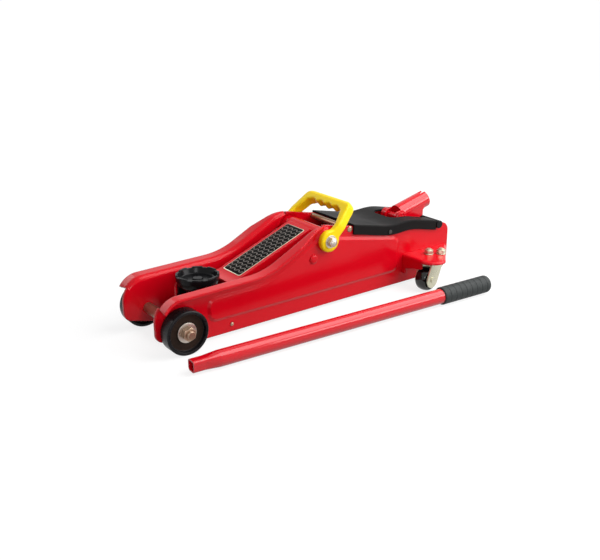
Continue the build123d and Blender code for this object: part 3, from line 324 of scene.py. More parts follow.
def caster_plastic():
    """Polished hard nylon: near black and glossy."""
    return finish(
        "Black_caster_nylon", colours().caster, rough=0.14, spread=0.03, grain_mm=2.0, bump=0.03,
        level=0.45, mottle=0.08,
    )


def panel_grit():
    """Black anti-slip sheet: grit about a millimetre across, drawn a little coarse so that it shows."""
    return finish(
        "Black_grit_sheet", linear("100F0E"), rough=0.6, spread=0.08, grain_mm=1.3, bump=0.7,
        level=0.05, mottle=0.25, mottle_mm=5.0,
    )


def tread_rubber():
    """Raised rubber treads, rubbed grey on top."""
    return finish(
        "Rubbed_tread_rubber", linear("7C7772"), rough=0.6, spread=0.06, grain_mm=1.0, bump=0.3,
        level=0.1, mottle=0.2, mottle_mm=4.0, edge_mm=0.3,
    )


def blackened_steel():
    """Oil-blackened screw steel: dark with a dull shine."""
    return finish(
        "Blackened_screw_steel", linear("4A4947"), rough=0.35, spread=0.06, grain_mm=0.7, bump=0.1,
        metallic=0.9, mottle=0.1, mottle_mm=3.0,
    )


SLOT_FINISH = {
    "red_enamel": red_enamel,
    "black_enamel": black_enamel,
    "black_wheel": black_enamel,
    "black_cover": cover_plastic,
    "yellow_plastic": yellow_plastic,
    "copper_tone_steel": copper_plate,
    "yellow_zinc": yellow_zinc,
    "grey_zinc": bright_zinc,
    "bare_steel": plain_steel,
    "polished_steel": ground_steel,
    "spring_steel": spring_steel,
    "black_caster": caster_plastic,
    "black_rubber": grip_rubber,
}

NODE_FINISH = {
    "cover_screws": blackened_steel,
    "socket_pin": red_enamel,
    "handle_tube": tube_enamel,
    "handle_socket": tube_enamel,
}


# Mesh making

def eased(corners, closed=False):
    """Profile with its corners rounded. Each corner is radius, height and easing, in millimetres."""
    most_of_edge = 0.45
    steps = 4
    points = []
    count = len(corners)
    for i, (r, z, ease) in enumerate(corners):
        here = Vector((r, z))
        inner_corner = closed or 0 < i < count - 1
        if ease == 0 or not inner_corner:
            points.append((r, z))
            continue
        before = Vector(corners[i - 1][:2]) - here
        after = Vector(corners[(i + 1) % count][:2]) - here
        reach = min(ease, most_of_edge * before.length, most_of_edge * after.length)
        start = here + before.normalized() * reach
        end = here + after.normalized() * reach
        for step in range(steps + 1):
            t = step / steps
            at = start.lerp(here, t).lerp(here.lerp(end, t), t)
            points.append((at.x, at.y))
    return points


def mirrored(corners):
    """The other half of a profile that is the same on both sides of Z = 0."""
    return [(r, -z, ease) for r, z, ease in reversed(corners)]


def at_turn(made, r, turn, z):
    """New corner of a mesh at a radius, turn and height about Z, in millimetres."""
    return made.verts.new((r * MM * math.cos(turn), r * MM * math.sin(turn), z * MM))


def skin(made, rings, closed=False):
    """Faces between rings of equal count, and from the last to the first where the skin closes."""
    count = len(rings[0])
    for low, high in zip(rings, rings[1:] + rings[:1] if closed else rings[1:]):
        for i in range(count):
            j = (i + 1) % count
            made.faces.new((low[i], low[j], high[j], high[i]))


def capped(made, rings):
    """Close an open skin at its last and first ring."""
    made.faces.new(rings[-1])
    made.faces.new(list(reversed(rings[0])))


def outward(made):
    """The mesh with its faces turned outwards."""
    bmesh.ops.recalc_face_normals(made, faces=made.faces)
    return made


def lathe(profile, segments=72):
    """Surface of revolution about Z from radius and height pairs in millimetres."""
    on_axis = 0.001
    made = bmesh.new()
    rings = []
    for r, z in profile:
        count = segments if r > on_axis else 1
        rings.append([at_turn(made, r, TURN * i / segments, z) for i in range(count)])
    steps = list(zip(rings, rings[1:]))
    if len(rings[0]) > 1:
        steps.append((rings[-1], rings[0]))
    for low, high in steps:
        for i in range(segments):
            j = i + 1
            corners = [low[i % len(low)], low[j % len(low)], high[j % len(high)], high[i % len(high)]]
            corners = list(dict.fromkeys(corners))
            if len(corners) > 2:
                made.faces.new(corners)
    return outward(made)


def washer(bore, outside, thick, ease, segments):
    """Pressed washer on Z = 0, a little softer on its upper edge, in millimetres."""
    bore_ease = 0.2
    upper_ease = ease + 0.1
    profile = [
        (bore, 0, bore_ease), (outside, 0, ease), (outside, thick, upper_ease), (bore, thick, bore_ease),
    ]
    return lathe(eased(profile, True), segments)


def hex_nut(flats, height, hole, segments=48):
    """Hexagon with turned corner chamfers, standing on Z = 0, in millimetres."""
    made = bmesh.new()
    sixth = math.pi / 3
    flat = flats / 2
    face = flat * 0.96
    chamfer_slope = 0.55
    rings = []
    for kind, top in (("hole", 0), ("face", 0), ("hex", 0), ("hex", 1), ("face", 1), ("hole", 1)):
        ring = []
        for i in range(segments):
            turn = TURN * i / segments
            off = (turn + sixth / 2) % sixth - sixth / 2
            r = {"hole": hole, "face": face, "hex": flat / math.cos(off)}[kind]
            drop = (r - face) * chamfer_slope if kind == "hex" else 0
            ring.append(at_turn(made, r, turn, height - drop if top else drop))
        rings.append(ring)
    skin(made, rings, True)
    return outward(made)


def thread(radius, z_from, z_to, tip, segments=28):
    """Screw thread about Z with a chamfered tip, in millimetres."""
    pitch = sizes().thread_pitch / MM
    depth = sizes().thread_depth / MM
    rows_per_pitch = 6
    tip_slope = 0.4
    made = bmesh.new()
    rows = max(4, int((z_to - z_from) / pitch * rows_per_pitch))
    rings = []
    for row in range(rows + 1):
        z = z_from + (z_to - z_from) * row / rows
        ring = []
        for i in range(segments):
            phase = (z / pitch - i / segments) % 1.0
            r = radius - depth * abs(2 * phase - 1)
            if z > z_to - tip:
                r = min(r, radius - depth - (z - z_to + tip) * tip_slope)
            ring.append(at_turn(made, r, TURN * i / segments, z))
        rings.append(ring)
    skin(made, rings)
    capped(made, rings)
    return outward(made)


def joined(parts):
    """One mesh from pairs of a mesh and its place."""
    whole = bmesh.new()
    for part, place in parts:
        bmesh.ops.transform(part, matrix=place, verts=part.verts)
        if place.determinant() < 0:
            bmesh.ops.reverse_faces(part, faces=part.faces)
        shell = bpy.data.meshes.new("shell")
        part.to_mesh(shell)
        part.free()
        whole.from_mesh(shell)
        bpy.data.meshes.remove(shell)
    return whole


def across(centre, side):
    """Matrix that stands Z along plus or minus Y at a centre, with X kept."""
    turn = Matrix(((1, 0, 0), (0, 0, side), (0, -side, 0))).to_4x4()
    return Matrix.Translation(centre) @ turn


def raised(height_mm):
    """Matrix that lifts a fitting along its own axis."""
    return Matrix.Translation((0, 0, height_mm * MM))


def piece(name, made, finishes, body, replaced=(), sharp=35.0):
    """Put a mesh in the scene as a finished piece that moves with a body."""
    mesh = made
    if isinstance(made, bmesh.types.BMesh):
        mesh = bpy.data.meshes.new(name)
        made.to_mesh(mesh)
        made.free()
    mesh.name = name
    # One finish covers the whole piece; with two, each face keeps its own
    if len(finishes) == 1:
        mesh.materials.clear()
    for each in finishes:
        mesh.materials.append(each)
    mesh.shade_smooth()
    mesh.set_sharp_from_angle(angle=math.radians(sharp))
    obj = helper(name, mesh)
    if body:
        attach(obj, body)
    if replaced:
        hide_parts(*replaced)
    return obj


def helper(name, data):
    """New object in the scene that holds a mesh, a curve, a lamp or a lens."""
    obj = bpy.data.objects.new(name, data)
    bpy.context.scene.collection.objects.link(obj)
    return obj


def evaluated_mesh(obj):
    """Plain mesh of an object with its modifiers applied; the object stays."""
    graph = bpy.context.evaluated_depsgraph_get()
    return bpy.data.meshes.new_from_object(obj.evaluated_get(graph))


def finished_mesh(obj):
    """Plain mesh of a mesh object with its modifiers applied; the object goes."""
    mesh = evaluated_mesh(obj)
    old = obj.data
    bpy.data.objects.remove(obj)
    bpy.data.meshes.remove(old)
    return mesh


# Geometry node trees

def new_tree(name, inputs, output):
    """Empty geometry node tree with named inputs and one output."""
    tree = bpy.data.node_groups.new(name, "GeometryNodeTree")
    for label, kind in inputs:
        tree.interface.new_socket(label, in_out="INPUT", socket_type="NodeSocket" + kind)
    tree.interface.new_socket(output, in_out="OUTPUT", socket_type="NodeSocketGeometry")
    return tree


def close_tree(tree, shape, coat, output):
    """End a tree: its shape is made real, gets its finish and goes out."""
    real = add(tree, "GeometryNodeRealizeInstances", {"Geometry": shape})
    coated = add(tree, "GeometryNodeSetMaterial", {"Geometry": real.outputs["Geometry"], "Material": coat})
    add(tree, "NodeGroupOutput", {output: coated.outputs["Geometry"]})


def grown(carrier, tree, values):
    """Plain mesh that a tree makes from a carrier, with the tree's inputs set by name."""
    rule = carrier.modifiers.new(tree.name, "NODES")
    rule.node_group = tree
    for item in tree.interface.items_tree:
        if item.in_out == "INPUT" and item.name in values:
            rule[item.identifier] = values[item.name]
    return finished_mesh(carrier)


def repeat_tree():
    """Geometry nodes that put one fitting on every point, turned by the point's own angles."""
    name = "Repeated fittings"
    if name in bpy.data.node_groups:
        return bpy.data.node_groups[name]
    tree = new_tree(name, (("Points", "Geometry"), ("Fitting", "Object"), ("Finish", "Material")), "Fittings")
    start = add(tree, "NodeGroupInput")
    shape = add(tree, "GeometryNodeObjectInfo", {"Object": start.outputs["Fitting"]})
    turn = add(tree, "GeometryNodeInputNamedAttribute", {"Name": "turn"}, data_type="FLOAT_VECTOR")
    spread = add(tree, "GeometryNodeInstanceOnPoints", {
        "Points": start.outputs["Points"],
        "Instance": shape.outputs["Geometry"],
        "Rotation": turn.outputs["Attribute"],
    })
    close_tree(tree, spread.outputs["Instances"], start.outputs["Finish"], "Fittings")
    return tree


def repeated(made, places, coat):
    """Mesh of one fitting repeated at matrices, through geometry nodes."""
    shape = bpy.data.meshes.new("fitting")
    made.to_mesh(shape)
    made.free()
    fitting = helper("fitting", shape)
    points = bpy.data.meshes.new("points")
    points.from_pydata([place.translation for place in places], [], [])
    turns = points.attributes.new("turn", "FLOAT_VECTOR", "POINT")
    for item, place in zip(turns.data, places):
        item.vector = Vector(place.to_euler())
    mesh = grown(helper("points", points), repeat_tree(), {"Fitting": fitting, "Finish": coat})
    bpy.data.objects.remove(fitting)
    bpy.data.meshes.remove(shape)
    return mesh


def frame_fittings(name, made, places, coat, replaced=()):
    """Piece of one fitting repeated on the frame, in one finish."""
    return piece(name, repeated(made, places, coat), [coat], "frame", replaced)


# Pieces

class JACK_OT_finishes(bpy.types.Operator):
    """Give every solid of the frame its finish"""
    bl_idname = "jack.finishes"
    bl_label = "Finishes"

    def execute(self, context):
        for entry in frame["record"]["subparts"]:
            obj = frame["nodes"][entry["node"]]
            obj.data.materials.clear()
            coat = NODE_FINISH.get(entry["node"], SLOT_FINISH[entry["material_slot"]])
            obj.data.materials.append(coat())
        return {"FINISHED"}


class JACK_OT_front_wheels(bpy.types.Operator):
    """Pressed front wheels with a rolled rim and a brown dish"""
    bl_idname = "jack.front_wheels"
    bl_label = "Front wheels"

    def execute(self, context):
        bore, hub, dish, lip_inside, lip_outside, tread = 7.3, 13.0, 26.5, 27.5, 30.8, 32.0
        dish_depth, web_back, rim_back, chamfer = 6.0, 7.1, 2.1, 1.2
        painted_dish = 26.3 * MM
        for word, side in (("left", -1), ("right", 1)):
            node = word + "_front_wheel"
            faces = [abs(corner[1] - axle_middle.y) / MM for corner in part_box(node)]
            near = min(faces)
            far = max(faces)
            profile = eased([
                (bore, near, 0.4), (hub, near, 0.8),
                (hub, near + web_back, 1.5), (dish, near + web_back, 1.5),
                (lip_inside, near + rim_back, 0.8), (lip_outside, near + rim_back, 0.5),
                (tread, near + rim_back + chamfer, 0.5), (tread, far - chamfer, 0.5),
                (lip_outside, far, 0.5), (lip_inside, far, 0.8),
                (dish, far - dish_depth, 1.5), (bore, far - dish_depth, 0.4),
            ], True)
            made = lathe(profile, 96)
            for face in made.faces:
                at = face.calc_center_median()
                face.material_index = 1 if math.hypot(at.x, at.y) < painted_dish else 0
            whole = joined([(made, across(axle_middle, side))])
            piece(node + "_rim", whole, [wheel_rim(), wheel_disc()], node, [node])
        return {"FINISHED"}


class JACK_OT_front_axle(bpy.types.Operator):
    """Turned front axle with threaded ends, washers and nuts"""
    bl_idname = "jack.front_axle"
    bl_label = "Front axle"

    def execute(self, context):
        screw, journal, shaft = 6.0, 7.2, 7.8
        shoulder = 44.5
        core_short, core_lap = 3.0, 2.0
        washer_thick = 2.2
        lean = 0.2
        tip = reach_out("front_axle", axle_middle)
        seat = reach_out("axle_washers", axle_middle) - washer_thick
        half = [
            (shaft, shoulder, 0.6), (journal, shoulder, 0.3), (journal, seat, 0.5), (screw, seat, 0.3),
            (screw, tip - core_short, 0), (0, tip - core_short, 0),
        ]
        parts = [(lathe(eased(mirrored(half) + half), 64), across(axle_middle, 1))]
        for side in SIDES:
            parts.append((thread(screw, seat + core_lap, tip, 1.0), across(axle_middle, side)))
        piece("front_axle_rod", joined(parts), [copper_plate()], "frame", ["front_axle"])

        def both_ends(rise):
            """Places of a fitting on both ends of the axle, turned a little off square."""
            return [
                across(axle_middle, side) @ raised(rise) @ Matrix.Rotation(lean * side, 4, "Z")
                for side in SIDES
            ]

        rings = both_ends(seat)
        nuts = both_ends(seat + washer_thick)
        ring = washer(6.1, 14.5, washer_thick, 0.5, 64)
        nut = hex_nut(18.0, 8.0, screw)
        frame_fittings("axle_rings", ring, rings, bright_zinc(), ["axle_washers"])
        frame_fittings("axle_hex_nuts", nut, nuts, copper_plate(), ["axle_nuts"])
        return {"FINISHED"}


class JACK_OT_pivot_ends(bpy.types.Operator):
    """Washers and domed nuts on the main pivot"""
    bl_idname = "jack.pivot_ends"
    bl_label = "Pivot ends"

    def execute(self, context):
        washer_thick = 1.6
        dome_foot = 6.3
        lean = 0.35
        centre = middle("main_pivot_shaft")
        outside = reach_out("pivot_washers", centre)
        height = reach_out("pivot_nuts", centre) - outside
        ring = washer(4.1, 10.0, washer_thick, 0.4, 56)
        nut = hex_nut(13.0, 6.5, 4.0)
        dome = lathe(eased([
            (0, height, 0), (2.6, height - 0.3, 1.0), (5.2, height - 2.0, 1.6),
            (5.6, dome_foot, 0), (0, dome_foot, 0),
        ]), 40)
        domed = joined([(nut, Matrix.Identity(4)), (dome, Matrix.Identity(4))])
        ends = [across(centre, side) for side in SIDES]
        rings = [end @ raised(outside - washer_thick) for end in ends]
        nuts = [end @ raised(outside) @ Matrix.Rotation(lean, 4, "Z") for end in ends]
        frame_fittings("pivot_rings", ring, rings, bright_zinc(), ["pivot_washers"])
        frame_fittings("pivot_domed_nuts", domed, nuts, bright_zinc(), ["pivot_nuts"])
        return {"FINISHED"}


class JACK_OT_rivets(bpy.types.Operator):
    """Painted rivet heads of the link pivots"""
    bl_idname = "jack.rivets"
    bl_label = "Rivets"

    def execute(self, context):
        inner_head, pivot, collar, shank, outer_head = 8.5, 6.0, 6.5, 5.0, 7.5
        inner_foot, bar_inside, bar_outside = 28.9, 30.7, 36.3
        plate_thick, head_rise = 4.5, 3.2
        centre = middle("link_rivets")
        base = reach_out("link_rivets", centre) - head_rise
        profile = eased([
            (0, inner_foot, 0), (inner_head, inner_foot, 0.4), (inner_head, bar_inside, 0.4),
            (pivot, bar_inside, 0), (pivot, bar_outside, 0), (collar, bar_outside, 0.2),
            (collar, base - plate_thick, 0), (shank, base - plate_thick, 0), (shank, base, 0),
            (outer_head, base, 0.3), (7.3, base + 1.3, 1.2), (4.6, base + 2.9, 2.0), (0, base + head_rise, 0),
        ])
        ends = [across(centre, side) for side in SIDES]
        frame_fittings(
            "link_rivet_heads", lathe(profile, 48), ends, red_enamel(), ["link_rivets"]
        )
        return {"FINISHED"}


class JACK_OT_saddle(bpy.types.Operator):
    """Cast saddle: a bowl with a crenellated rim and a centre boss"""
    bl_idname = "jack.saddle"
    bl_label = "Saddle"

    def execute(self, context):
        stem, groove, foot, rim, mouth, floor_edge = 10.0, 8.7, 28.5, 31.5, 28.0, 25.5
        stem_foot, groove_foot, groove_top = 59.7, 60.7, 62.7
        bowl_foot, bowl_floor, flare_top, boss_top, rim_top = 69.3, 75.5, 77.3, 78.5, 83.6
        bowl = lathe(eased([
            (0, stem_foot, 0), (stem, stem_foot, 0.4), (stem, groove_foot, 0), (groove, groove_foot, 0),
            (groove, groove_top, 0), (stem, groove_top, 0), (stem, bowl_foot, 0), (foot, bowl_foot, 0.8),
            (rim, flare_top, 1.6), (rim, rim_top, 0.8), (mouth, rim_top, 0.8), (floor_edge, bowl_floor, 1.8),
            (7.5, bowl_floor, 0.8), (7.0, boss_top, 0.8), (0, boss_top, 0),
        ]), 96)
        place = middle("saddle")
        place.z = 0
        count = sizes().lug_count
        half = math.radians(15)
        slices = 8
        end_droop = 0.4
        section = ((28.05, 82.6), (31.45, 82.6), (31.35, 84.4), (30.8, 85.0), (28.7, 85.0), (28.15, 84.4))
        lug = bmesh.new()
        rings = []
        for i in range(slices + 1):
            turn = -half + 2 * half * i / slices
            droop = end_droop if i in (0, slices) else 0.0
            rings.append([at_turn(lug, r, turn, z - droop) for r, z in section])
        skin(lug, rings)
        lug.faces.new(rings[0])
        lug.faces.new(rings[-1])
        spots = [Matrix.Rotation(half + TURN * i / count, 4, "Z") for i in range(count)]
        crown = bmesh.new()
        crown.from_mesh(repeated(outward(lug), spots, black_enamel()))
        whole = joined([(bowl, Matrix.Translation(place)), (crown, Matrix.Translation(place))])
        piece("saddle_bowl", whole, [black_enamel()], "saddle", ["saddle"])
        return {"FINISHED"}


# Ends of the anti-slip panel's middle line on the arm's top plate: along the jack and up, in millimetres
panel_foot = Vector((115.0, 74.25))
panel_head = Vector((235.0, 121.46))
panel_span = (panel_head - panel_foot).length
panel_run = (panel_head - panel_foot).normalized()
panel_rise = Vector((-panel_run.y, panel_run.x))


def on_panel(along, aside, lift):
    """Place of a point on the arm's sloped top plate."""
    at = panel_foot + panel_run * along + panel_rise * lift
    return spot(at.x, aside, at.y)


def panel_sheet(half, inset, thick):
    """Sheet with round corners on the arm's sloped top plate, in millimetres."""
    corner = 3.0
    corner_steps = 5
    bedded = 0.02
    straight, softened, top_inset = 0.0, 0.7, 0.25
    near = inset + corner
    far = panel_span - inset - corner
    side = half - corner
    outline = []
    for along, aside, first in ((near, -side, 180), (far, -side, 270), (far, side, 0), (near, side, 90)):
        for step in range(corner_steps + 1):
            angle = math.radians(first + 90 / corner_steps * step)
            outline.append((along + corner * math.cos(angle), aside + corner * math.sin(angle)))
    made = bmesh.new()
    rings = []
    for lift, shrink in ((0.0, straight), (thick * softened, straight), (thick, top_inset)):
        ring = []
        for along, aside in outline:
            along = panel_span / 2 + (along - panel_span / 2) * (1 - shrink / panel_span)
            aside = aside * (1 - shrink / half)
            ring.append(made.verts.new(on_panel(along, aside, lift - bedded)))
        rings.append(ring)
    skin(made, rings)
    capped(made, rings)
    return outward(made)


class JACK_OT_arm_panel(bpy.types.Operator):
    """Plain anti-slip panel with a raised border on the lift arm"""
    bl_idname = "jack.arm_panel"
    bl_label = "Arm panel"

    def execute(self, context):
        piece("arm_panel_border", panel_sheet(22.0, 0.0, 0.35), [yellow_zinc()], "lift_arm")
        piece("arm_panel", panel_sheet(20.8, 1.2, 0.6), [panel_grit()], "lift_arm")
        columns, pitch = 17, 7.1
        lanes, lane_pitch = 7, 5.7
        tread_foot = 0.55
        lean = 45
        tread = bmesh.new()
        bmesh.ops.create_icosphere(tread, subdivisions=2, radius=MM)
        bmesh.ops.scale(tread, vec=(3.5, 0.9, 0.45), verts=tread.verts)
        slope = Matrix((
            (panel_run.x, 0, panel_rise.x),
            (0, 1, 0),
            (panel_run.y, 0, panel_rise.y),
        )).to_4x4()
        spots = []
        for column in range(columns):
            along = panel_span / 2 + (column - (columns - 1) / 2) * pitch
            for lane in range(lanes):
                at = on_panel(along, (lane - (lanes - 1) / 2) * lane_pitch, tread_foot)
                turn = math.radians(lean if (column + lane) % 2 else -lean)
                spots.append(Matrix.Translation(at) @ slope @ Matrix.Rotation(turn, 4, "Z"))
        treads = repeated(tread, spots, tread_rubber())
        piece("arm_panel_treads", treads, [tread_rubber()], "lift_arm", (), 60.0)
        return {"FINISHED"}


class JACK_OT_carry_handle(bpy.types.Operator):
    """Moulded carry handle with soft edges"""
    bl_idname = "jack.carry_handle"
    bl_label = "Carry handle"

    def execute(self, context):
        made = bmesh.new()
        made.from_mesh(frame["nodes"]["carry_handle"].data)
        bmesh.ops.remove_doubles(made, verts=made.verts, dist=0.01 * MM)
        mesh = bpy.data.meshes.new("moulding")
        made.to_mesh(mesh)
        made.free()
        blank = helper("moulding", mesh)
        skinned = blank.modifiers.new("Skin", "REMESH")
        skinned.mode = "VOXEL"
        skinned.voxel_size = 0.9 * MM
        soft = blank.modifiers.new("Soft", "SMOOTH")
        soft.factor = 0.5
        soft.iterations = 24
        full = blank.modifiers.new("Full", "DISPLACE")
        full.strength = 1.1 * MM
        full.mid_level = 0.0
        moulded = finished_mesh(blank)
        # The soft skin stands a little proud of the grip bar, so it is drawn down to the solid's own height
        pivot = middle("main_pivot_shaft").z
        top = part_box("carry_handle")[1][2]
        squeeze = (top - pivot) / (max(v.co.z for v in moulded.vertices) - pivot)
        for v in moulded.vertices:
            if v.co.z > pivot:
                v.co.z = pivot + (v.co.z - pivot) * squeeze
        piece(
            "carry_handle_moulding", moulded, [yellow_plastic()],
            "carry_handle", ["carry_handle"], 60.0,
        )
        return {"FINISHED"}


def rounding(tree, distance, radius):
    """Loss of radius at a distance from a rounded end."""
    share = add(tree, "ShaderNodeMath", {0: distance, 1: radius}, operation="DIVIDE", use_clamp=True)
    back = add(tree, "ShaderNodeMath", {0: 1.0, 1: share.outputs[0]}, operation="SUBTRACT")
    square = add(tree, "ShaderNodeMath", {0: back.outputs[0], 1: back.outputs[0]}, operation="MULTIPLY")
    keep = add(tree, "ShaderNodeMath", {0: 1.0, 1: square.outputs[0]}, operation="SUBTRACT")
    dome = add(tree, "ShaderNodeMath", {0: keep.outputs[0]}, operation="SQRT")
    lost = add(tree, "ShaderNodeMath", {0: 1.0, 1: dome.outputs[0]}, operation="SUBTRACT")
    return add(tree, "ShaderNodeMath", {0: lost.outputs[0], 1: radius}, operation="MULTIPLY")


def sleeve_tree():
    """Geometry nodes that draw a ribbed sleeve round a line: grooves at a pitch and rounded ends."""
    rings, sides = 420, 64
    groove_share = 0.12
    lengths = [(name, "Float") for name in ("Radius", "Pitch", "Depth", "End", "Lip")]
    tree = new_tree("Ribbed sleeve", [("Line", "Geometry")] + lengths + [("Finish", "Material")], "Sleeve")
    start = add(tree, "NodeGroupInput")
    curve = add(tree, "GeometryNodeMeshToCurve", {"Mesh": start.outputs["Line"]})
    fine = add(tree, "GeometryNodeResampleCurve", {"Curve": curve.outputs["Curve"], "Count": rings})
    along = add(tree, "GeometryNodeSplineParameter").outputs["Length"]
    whole = add(tree, "GeometryNodeSplineLength").outputs["Length"]
    wave = add(tree, "ShaderNodeMath", {0: along, 1: start.outputs["Pitch"]}, operation="DIVIDE")
    near = add(tree, "ShaderNodeMath", {0: wave.outputs[0], 1: 0.5}, operation="PINGPONG")
    groove = add(tree, "ShaderNodeMapRange", {
        "Value": near.outputs[0], "From Min": 0.0, "From Max": groove_share, "To Min": 1.0, "To Max": 0.0,
    }, interpolation_type="SMOOTHSTEP")
    notch = {0: groove.outputs["Result"], 1: start.outputs["Depth"]}
    cut = add(tree, "ShaderNodeMath", notch, operation="MULTIPLY")
    thin = add(tree, "ShaderNodeMath", {0: start.outputs["Radius"], 1: cut.outputs[0]}, operation="SUBTRACT")
    left = add(tree, "ShaderNodeMath", {0: whole, 1: along}, operation="SUBTRACT")
    rear = rounding(tree, left.outputs[0], start.outputs["End"])
    front = rounding(tree, along, start.outputs["Lip"])
    blunt = add(tree, "ShaderNodeMath", {0: thin.outputs[0], 1: rear.outputs[0]}, operation="SUBTRACT")
    size = add(tree, "ShaderNodeMath", {0: blunt.outputs[0], 1: front.outputs[0]}, operation="SUBTRACT")
    ring = add(tree, "GeometryNodeCurvePrimitiveCircle", {"Resolution": sides, "Radius": 1.0})
    tube = add(tree, "GeometryNodeCurveToMesh", {
        "Curve": fine.outputs["Curve"],
        "Profile Curve": ring.outputs["Curve"],
        "Scale": size.outputs[0],
        "Fill Caps": True,
    })
    close_tree(tree, tube.outputs["Mesh"], start.outputs["Finish"], "Sleeve")
    return tree


def handle_axis():
    """Point and direction of the pump handle's axis, from the middles of its front and rear end faces."""
    end_depth = 2.0 * MM
    verts = [v.co for v in frame["nodes"]["handle_tube"].data.vertices]
    nearest = min(v.x for v in verts)
    furthest = max(v.x for v in verts)
    front = [v for v in verts if v.x < nearest + end_depth]
    rear = [v for v in verts if v.x > furthest - end_depth]
    start = sum(front, Vector()) / len(front)
    end = sum(rear, Vector()) / len(rear)
    return start, (end - start).normalized()


class JACK_OT_grip(bpy.types.Operator):
    """Ribbed rubber sleeve on the pump handle"""
    bl_idname = "jack.grip"
    bl_label = "Handle grip"

    def execute(self, context):
        origin, way = handle_axis()
        along = [(v.co - origin).dot(way) for v in frame["nodes"]["handle_grip"].data.vertices]
        line = bpy.data.meshes.new("axis")
        line.from_pydata([origin + way * min(along), origin + way * max(along)], [(0, 1)], [])
        sleeve = grown(helper("axis", line), sleeve_tree(), {
            "Radius": 14.0 * MM,
            "Pitch": sizes().rib_pitch,
            "Depth": sizes().rib_depth,
            "End": 6.0 * MM,
            "Lip": 1.8 * MM,
            "Finish": grip_rubber(),
        })
        piece("handle_sleeve", sleeve, [grip_rubber()], "pump_handle", ["handle_grip"], 60.0)
        return {"FINISHED"}


class JACK_OT_springs(bpy.types.Operator):
    """Close-wound return springs with hooked ends"""
    bl_idname = "jack.springs"
    bl_label = "Return springs"

    def execute(self, context):
        coil = sizes().spring_coil
        wire = sizes().spring_wire
        turns = sizes().spring_turns
        pitch = wire * 1.12
        wound = turns * pitch
        hook = 4.8 * MM
        hook_lead, coil_lead = 12 * MM, 6 * MM
        hook_steps, coil_steps = 8, 12
        aside = 38.0 * MM
        pin = middle("roller_pin")
        anchor = middle("spring_anchors")
        height = (pin.z + anchor.z) / 2
        start_x = (pin.x + anchor.x - wound) / 2

        def hooked(centre, first):
            """Half a turn of wire round a pin, from an angle in degrees."""
            angles = [math.radians(first - 180 / hook_steps * step) for step in range(hook_steps + 1)]
            return [centre + Vector((math.cos(turn), 0, math.sin(turn))) * hook for turn in angles]

        for word, side in (("left", -1), ("right", 1)):
            y = axle_middle.y + side * aside
            front = Vector((pin.x, y, pin.z))
            rear = Vector((anchor.x, y, anchor.z))
            path = hooked(front, 270)
            path.append(Vector((front.x + hook_lead, y, front.z + hook)))
            path.append(Vector((start_x - coil_lead, y, height + coil)))
            for step in range(turns * coil_steps + 1):
                turn = math.radians(360 / coil_steps * step)
                x = start_x + pitch * step / coil_steps
                path.append(Vector((x, y + coil * math.sin(turn), height + coil * math.cos(turn))))
            path.append(Vector((start_x + wound + coil_lead, y, height + coil)))
            path.append(Vector((rear.x - hook_lead, y, rear.z + hook)))
            path += hooked(rear, 90)
            line = bpy.data.curves.new(word + "_spring", "CURVE")
            line.dimensions = "3D"
            line.bevel_depth = wire / 2
            line.bevel_resolution = 3
            line.use_fill_caps = True
            run = line.splines.new("NURBS")
            run.points.add(len(path) - 1)
            for point, at in zip(run.points, path):
                point.co = (*at, 1.0)
            run.order_u = 4
            run.use_endpoint_u = True
            run.resolution_u = 3
            carrier = helper(word + "_spring", line)
            mesh = evaluated_mesh(carrier)
            bpy.data.objects.remove(carrier)
            bpy.data.curves.remove(line)
            name = word + "_return_spring"
            replaced = ["return_springs"] if word == "left" else []
            made = piece(name, mesh, [spring_steel()], None, replaced, 60.0)
            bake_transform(made)
        return {"FINISHED"}


class JACK_OT_caster_nuts(bpy.types.Operator):
    """Nuts, washers and threaded studs on the caster shelves"""
    bl_idname = "jack.caster_nuts"
    bl_label = "Caster nuts"

    def execute(self, context):
        studs = ((450.0, 74.5), (467.0, 85.5))
        turn_step = 0.4
        tip_proud = 0.05
        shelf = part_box("caster_washers")[0][2]
        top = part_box("caster_nuts")[0][2]
        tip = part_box("left_caster_plate")[1][2]
        spots = [spot(x, side * y, 0) for x, y in studs for side in SIDES]
        rings = [Matrix.Translation((at.x, at.y, shelf)) for at in spots]
        nuts = [
            Matrix.Translation((at.x, at.y, top)) @ Matrix.Rotation(i * turn_step, 4, "Z")
            for i, at in enumerate(spots)
        ]
        ring = washer(4.1, 7.6, 1.4, 0.3, 40)
        nut = hex_nut(13.0, 6.0, 4.0, 36)
        stud = thread(4.0, 0.0, (tip - top) / MM + tip_proud, 0.8, 24)
        frame_fittings("shelf_rings", ring, rings, yellow_zinc(), ["caster_washers"])
        frame_fittings("shelf_nuts", nut, nuts, yellow_zinc(), ["caster_nuts"])
        frame_fittings("shelf_stud_threads", stud, nuts, yellow_zinc())
        return {"FINISHED"}


class JACK_OT_caster_wheels(bpy.types.Operator):
    """Glossy caster wheels with a crowned tread and ringed sides"""
    bl_idname = "jack.caster_wheels"
    bl_label = "Caster wheels"

    def execute(self, context):
        bore, hub, tread = 3.1, 8.0, 20.0
        face, web = 9.5, 7.5
        half = [
            (bore, face, 0.3), (hub, face, 0.6), (9.0, web, 0.6), (14.4, web, 0.6), (15.4, face, 0.8),
            (17.0, face, 1.4), (19.0, 6.5, 2.4),
        ]
        profile = half + [(tread, 0.0, 6.0)] + mirrored(half)
        joints = {joint["name"]: joint for joint in frame["joints"]}
        for word in ("left", "right"):
            node = word + "_caster_wheel"
            way = Vector(joints[node + "_spin"]["axis"]).normalized()
            turn = way.to_track_quat("Z", "Y").to_matrix().to_4x4()
            whole = joined([(lathe(eased(profile, True), 72), Matrix.Translation(middle(node)) @ turn)])
            piece(node + "_tread", whole, [caster_plastic()], node, [node])
        return {"FINISHED"}


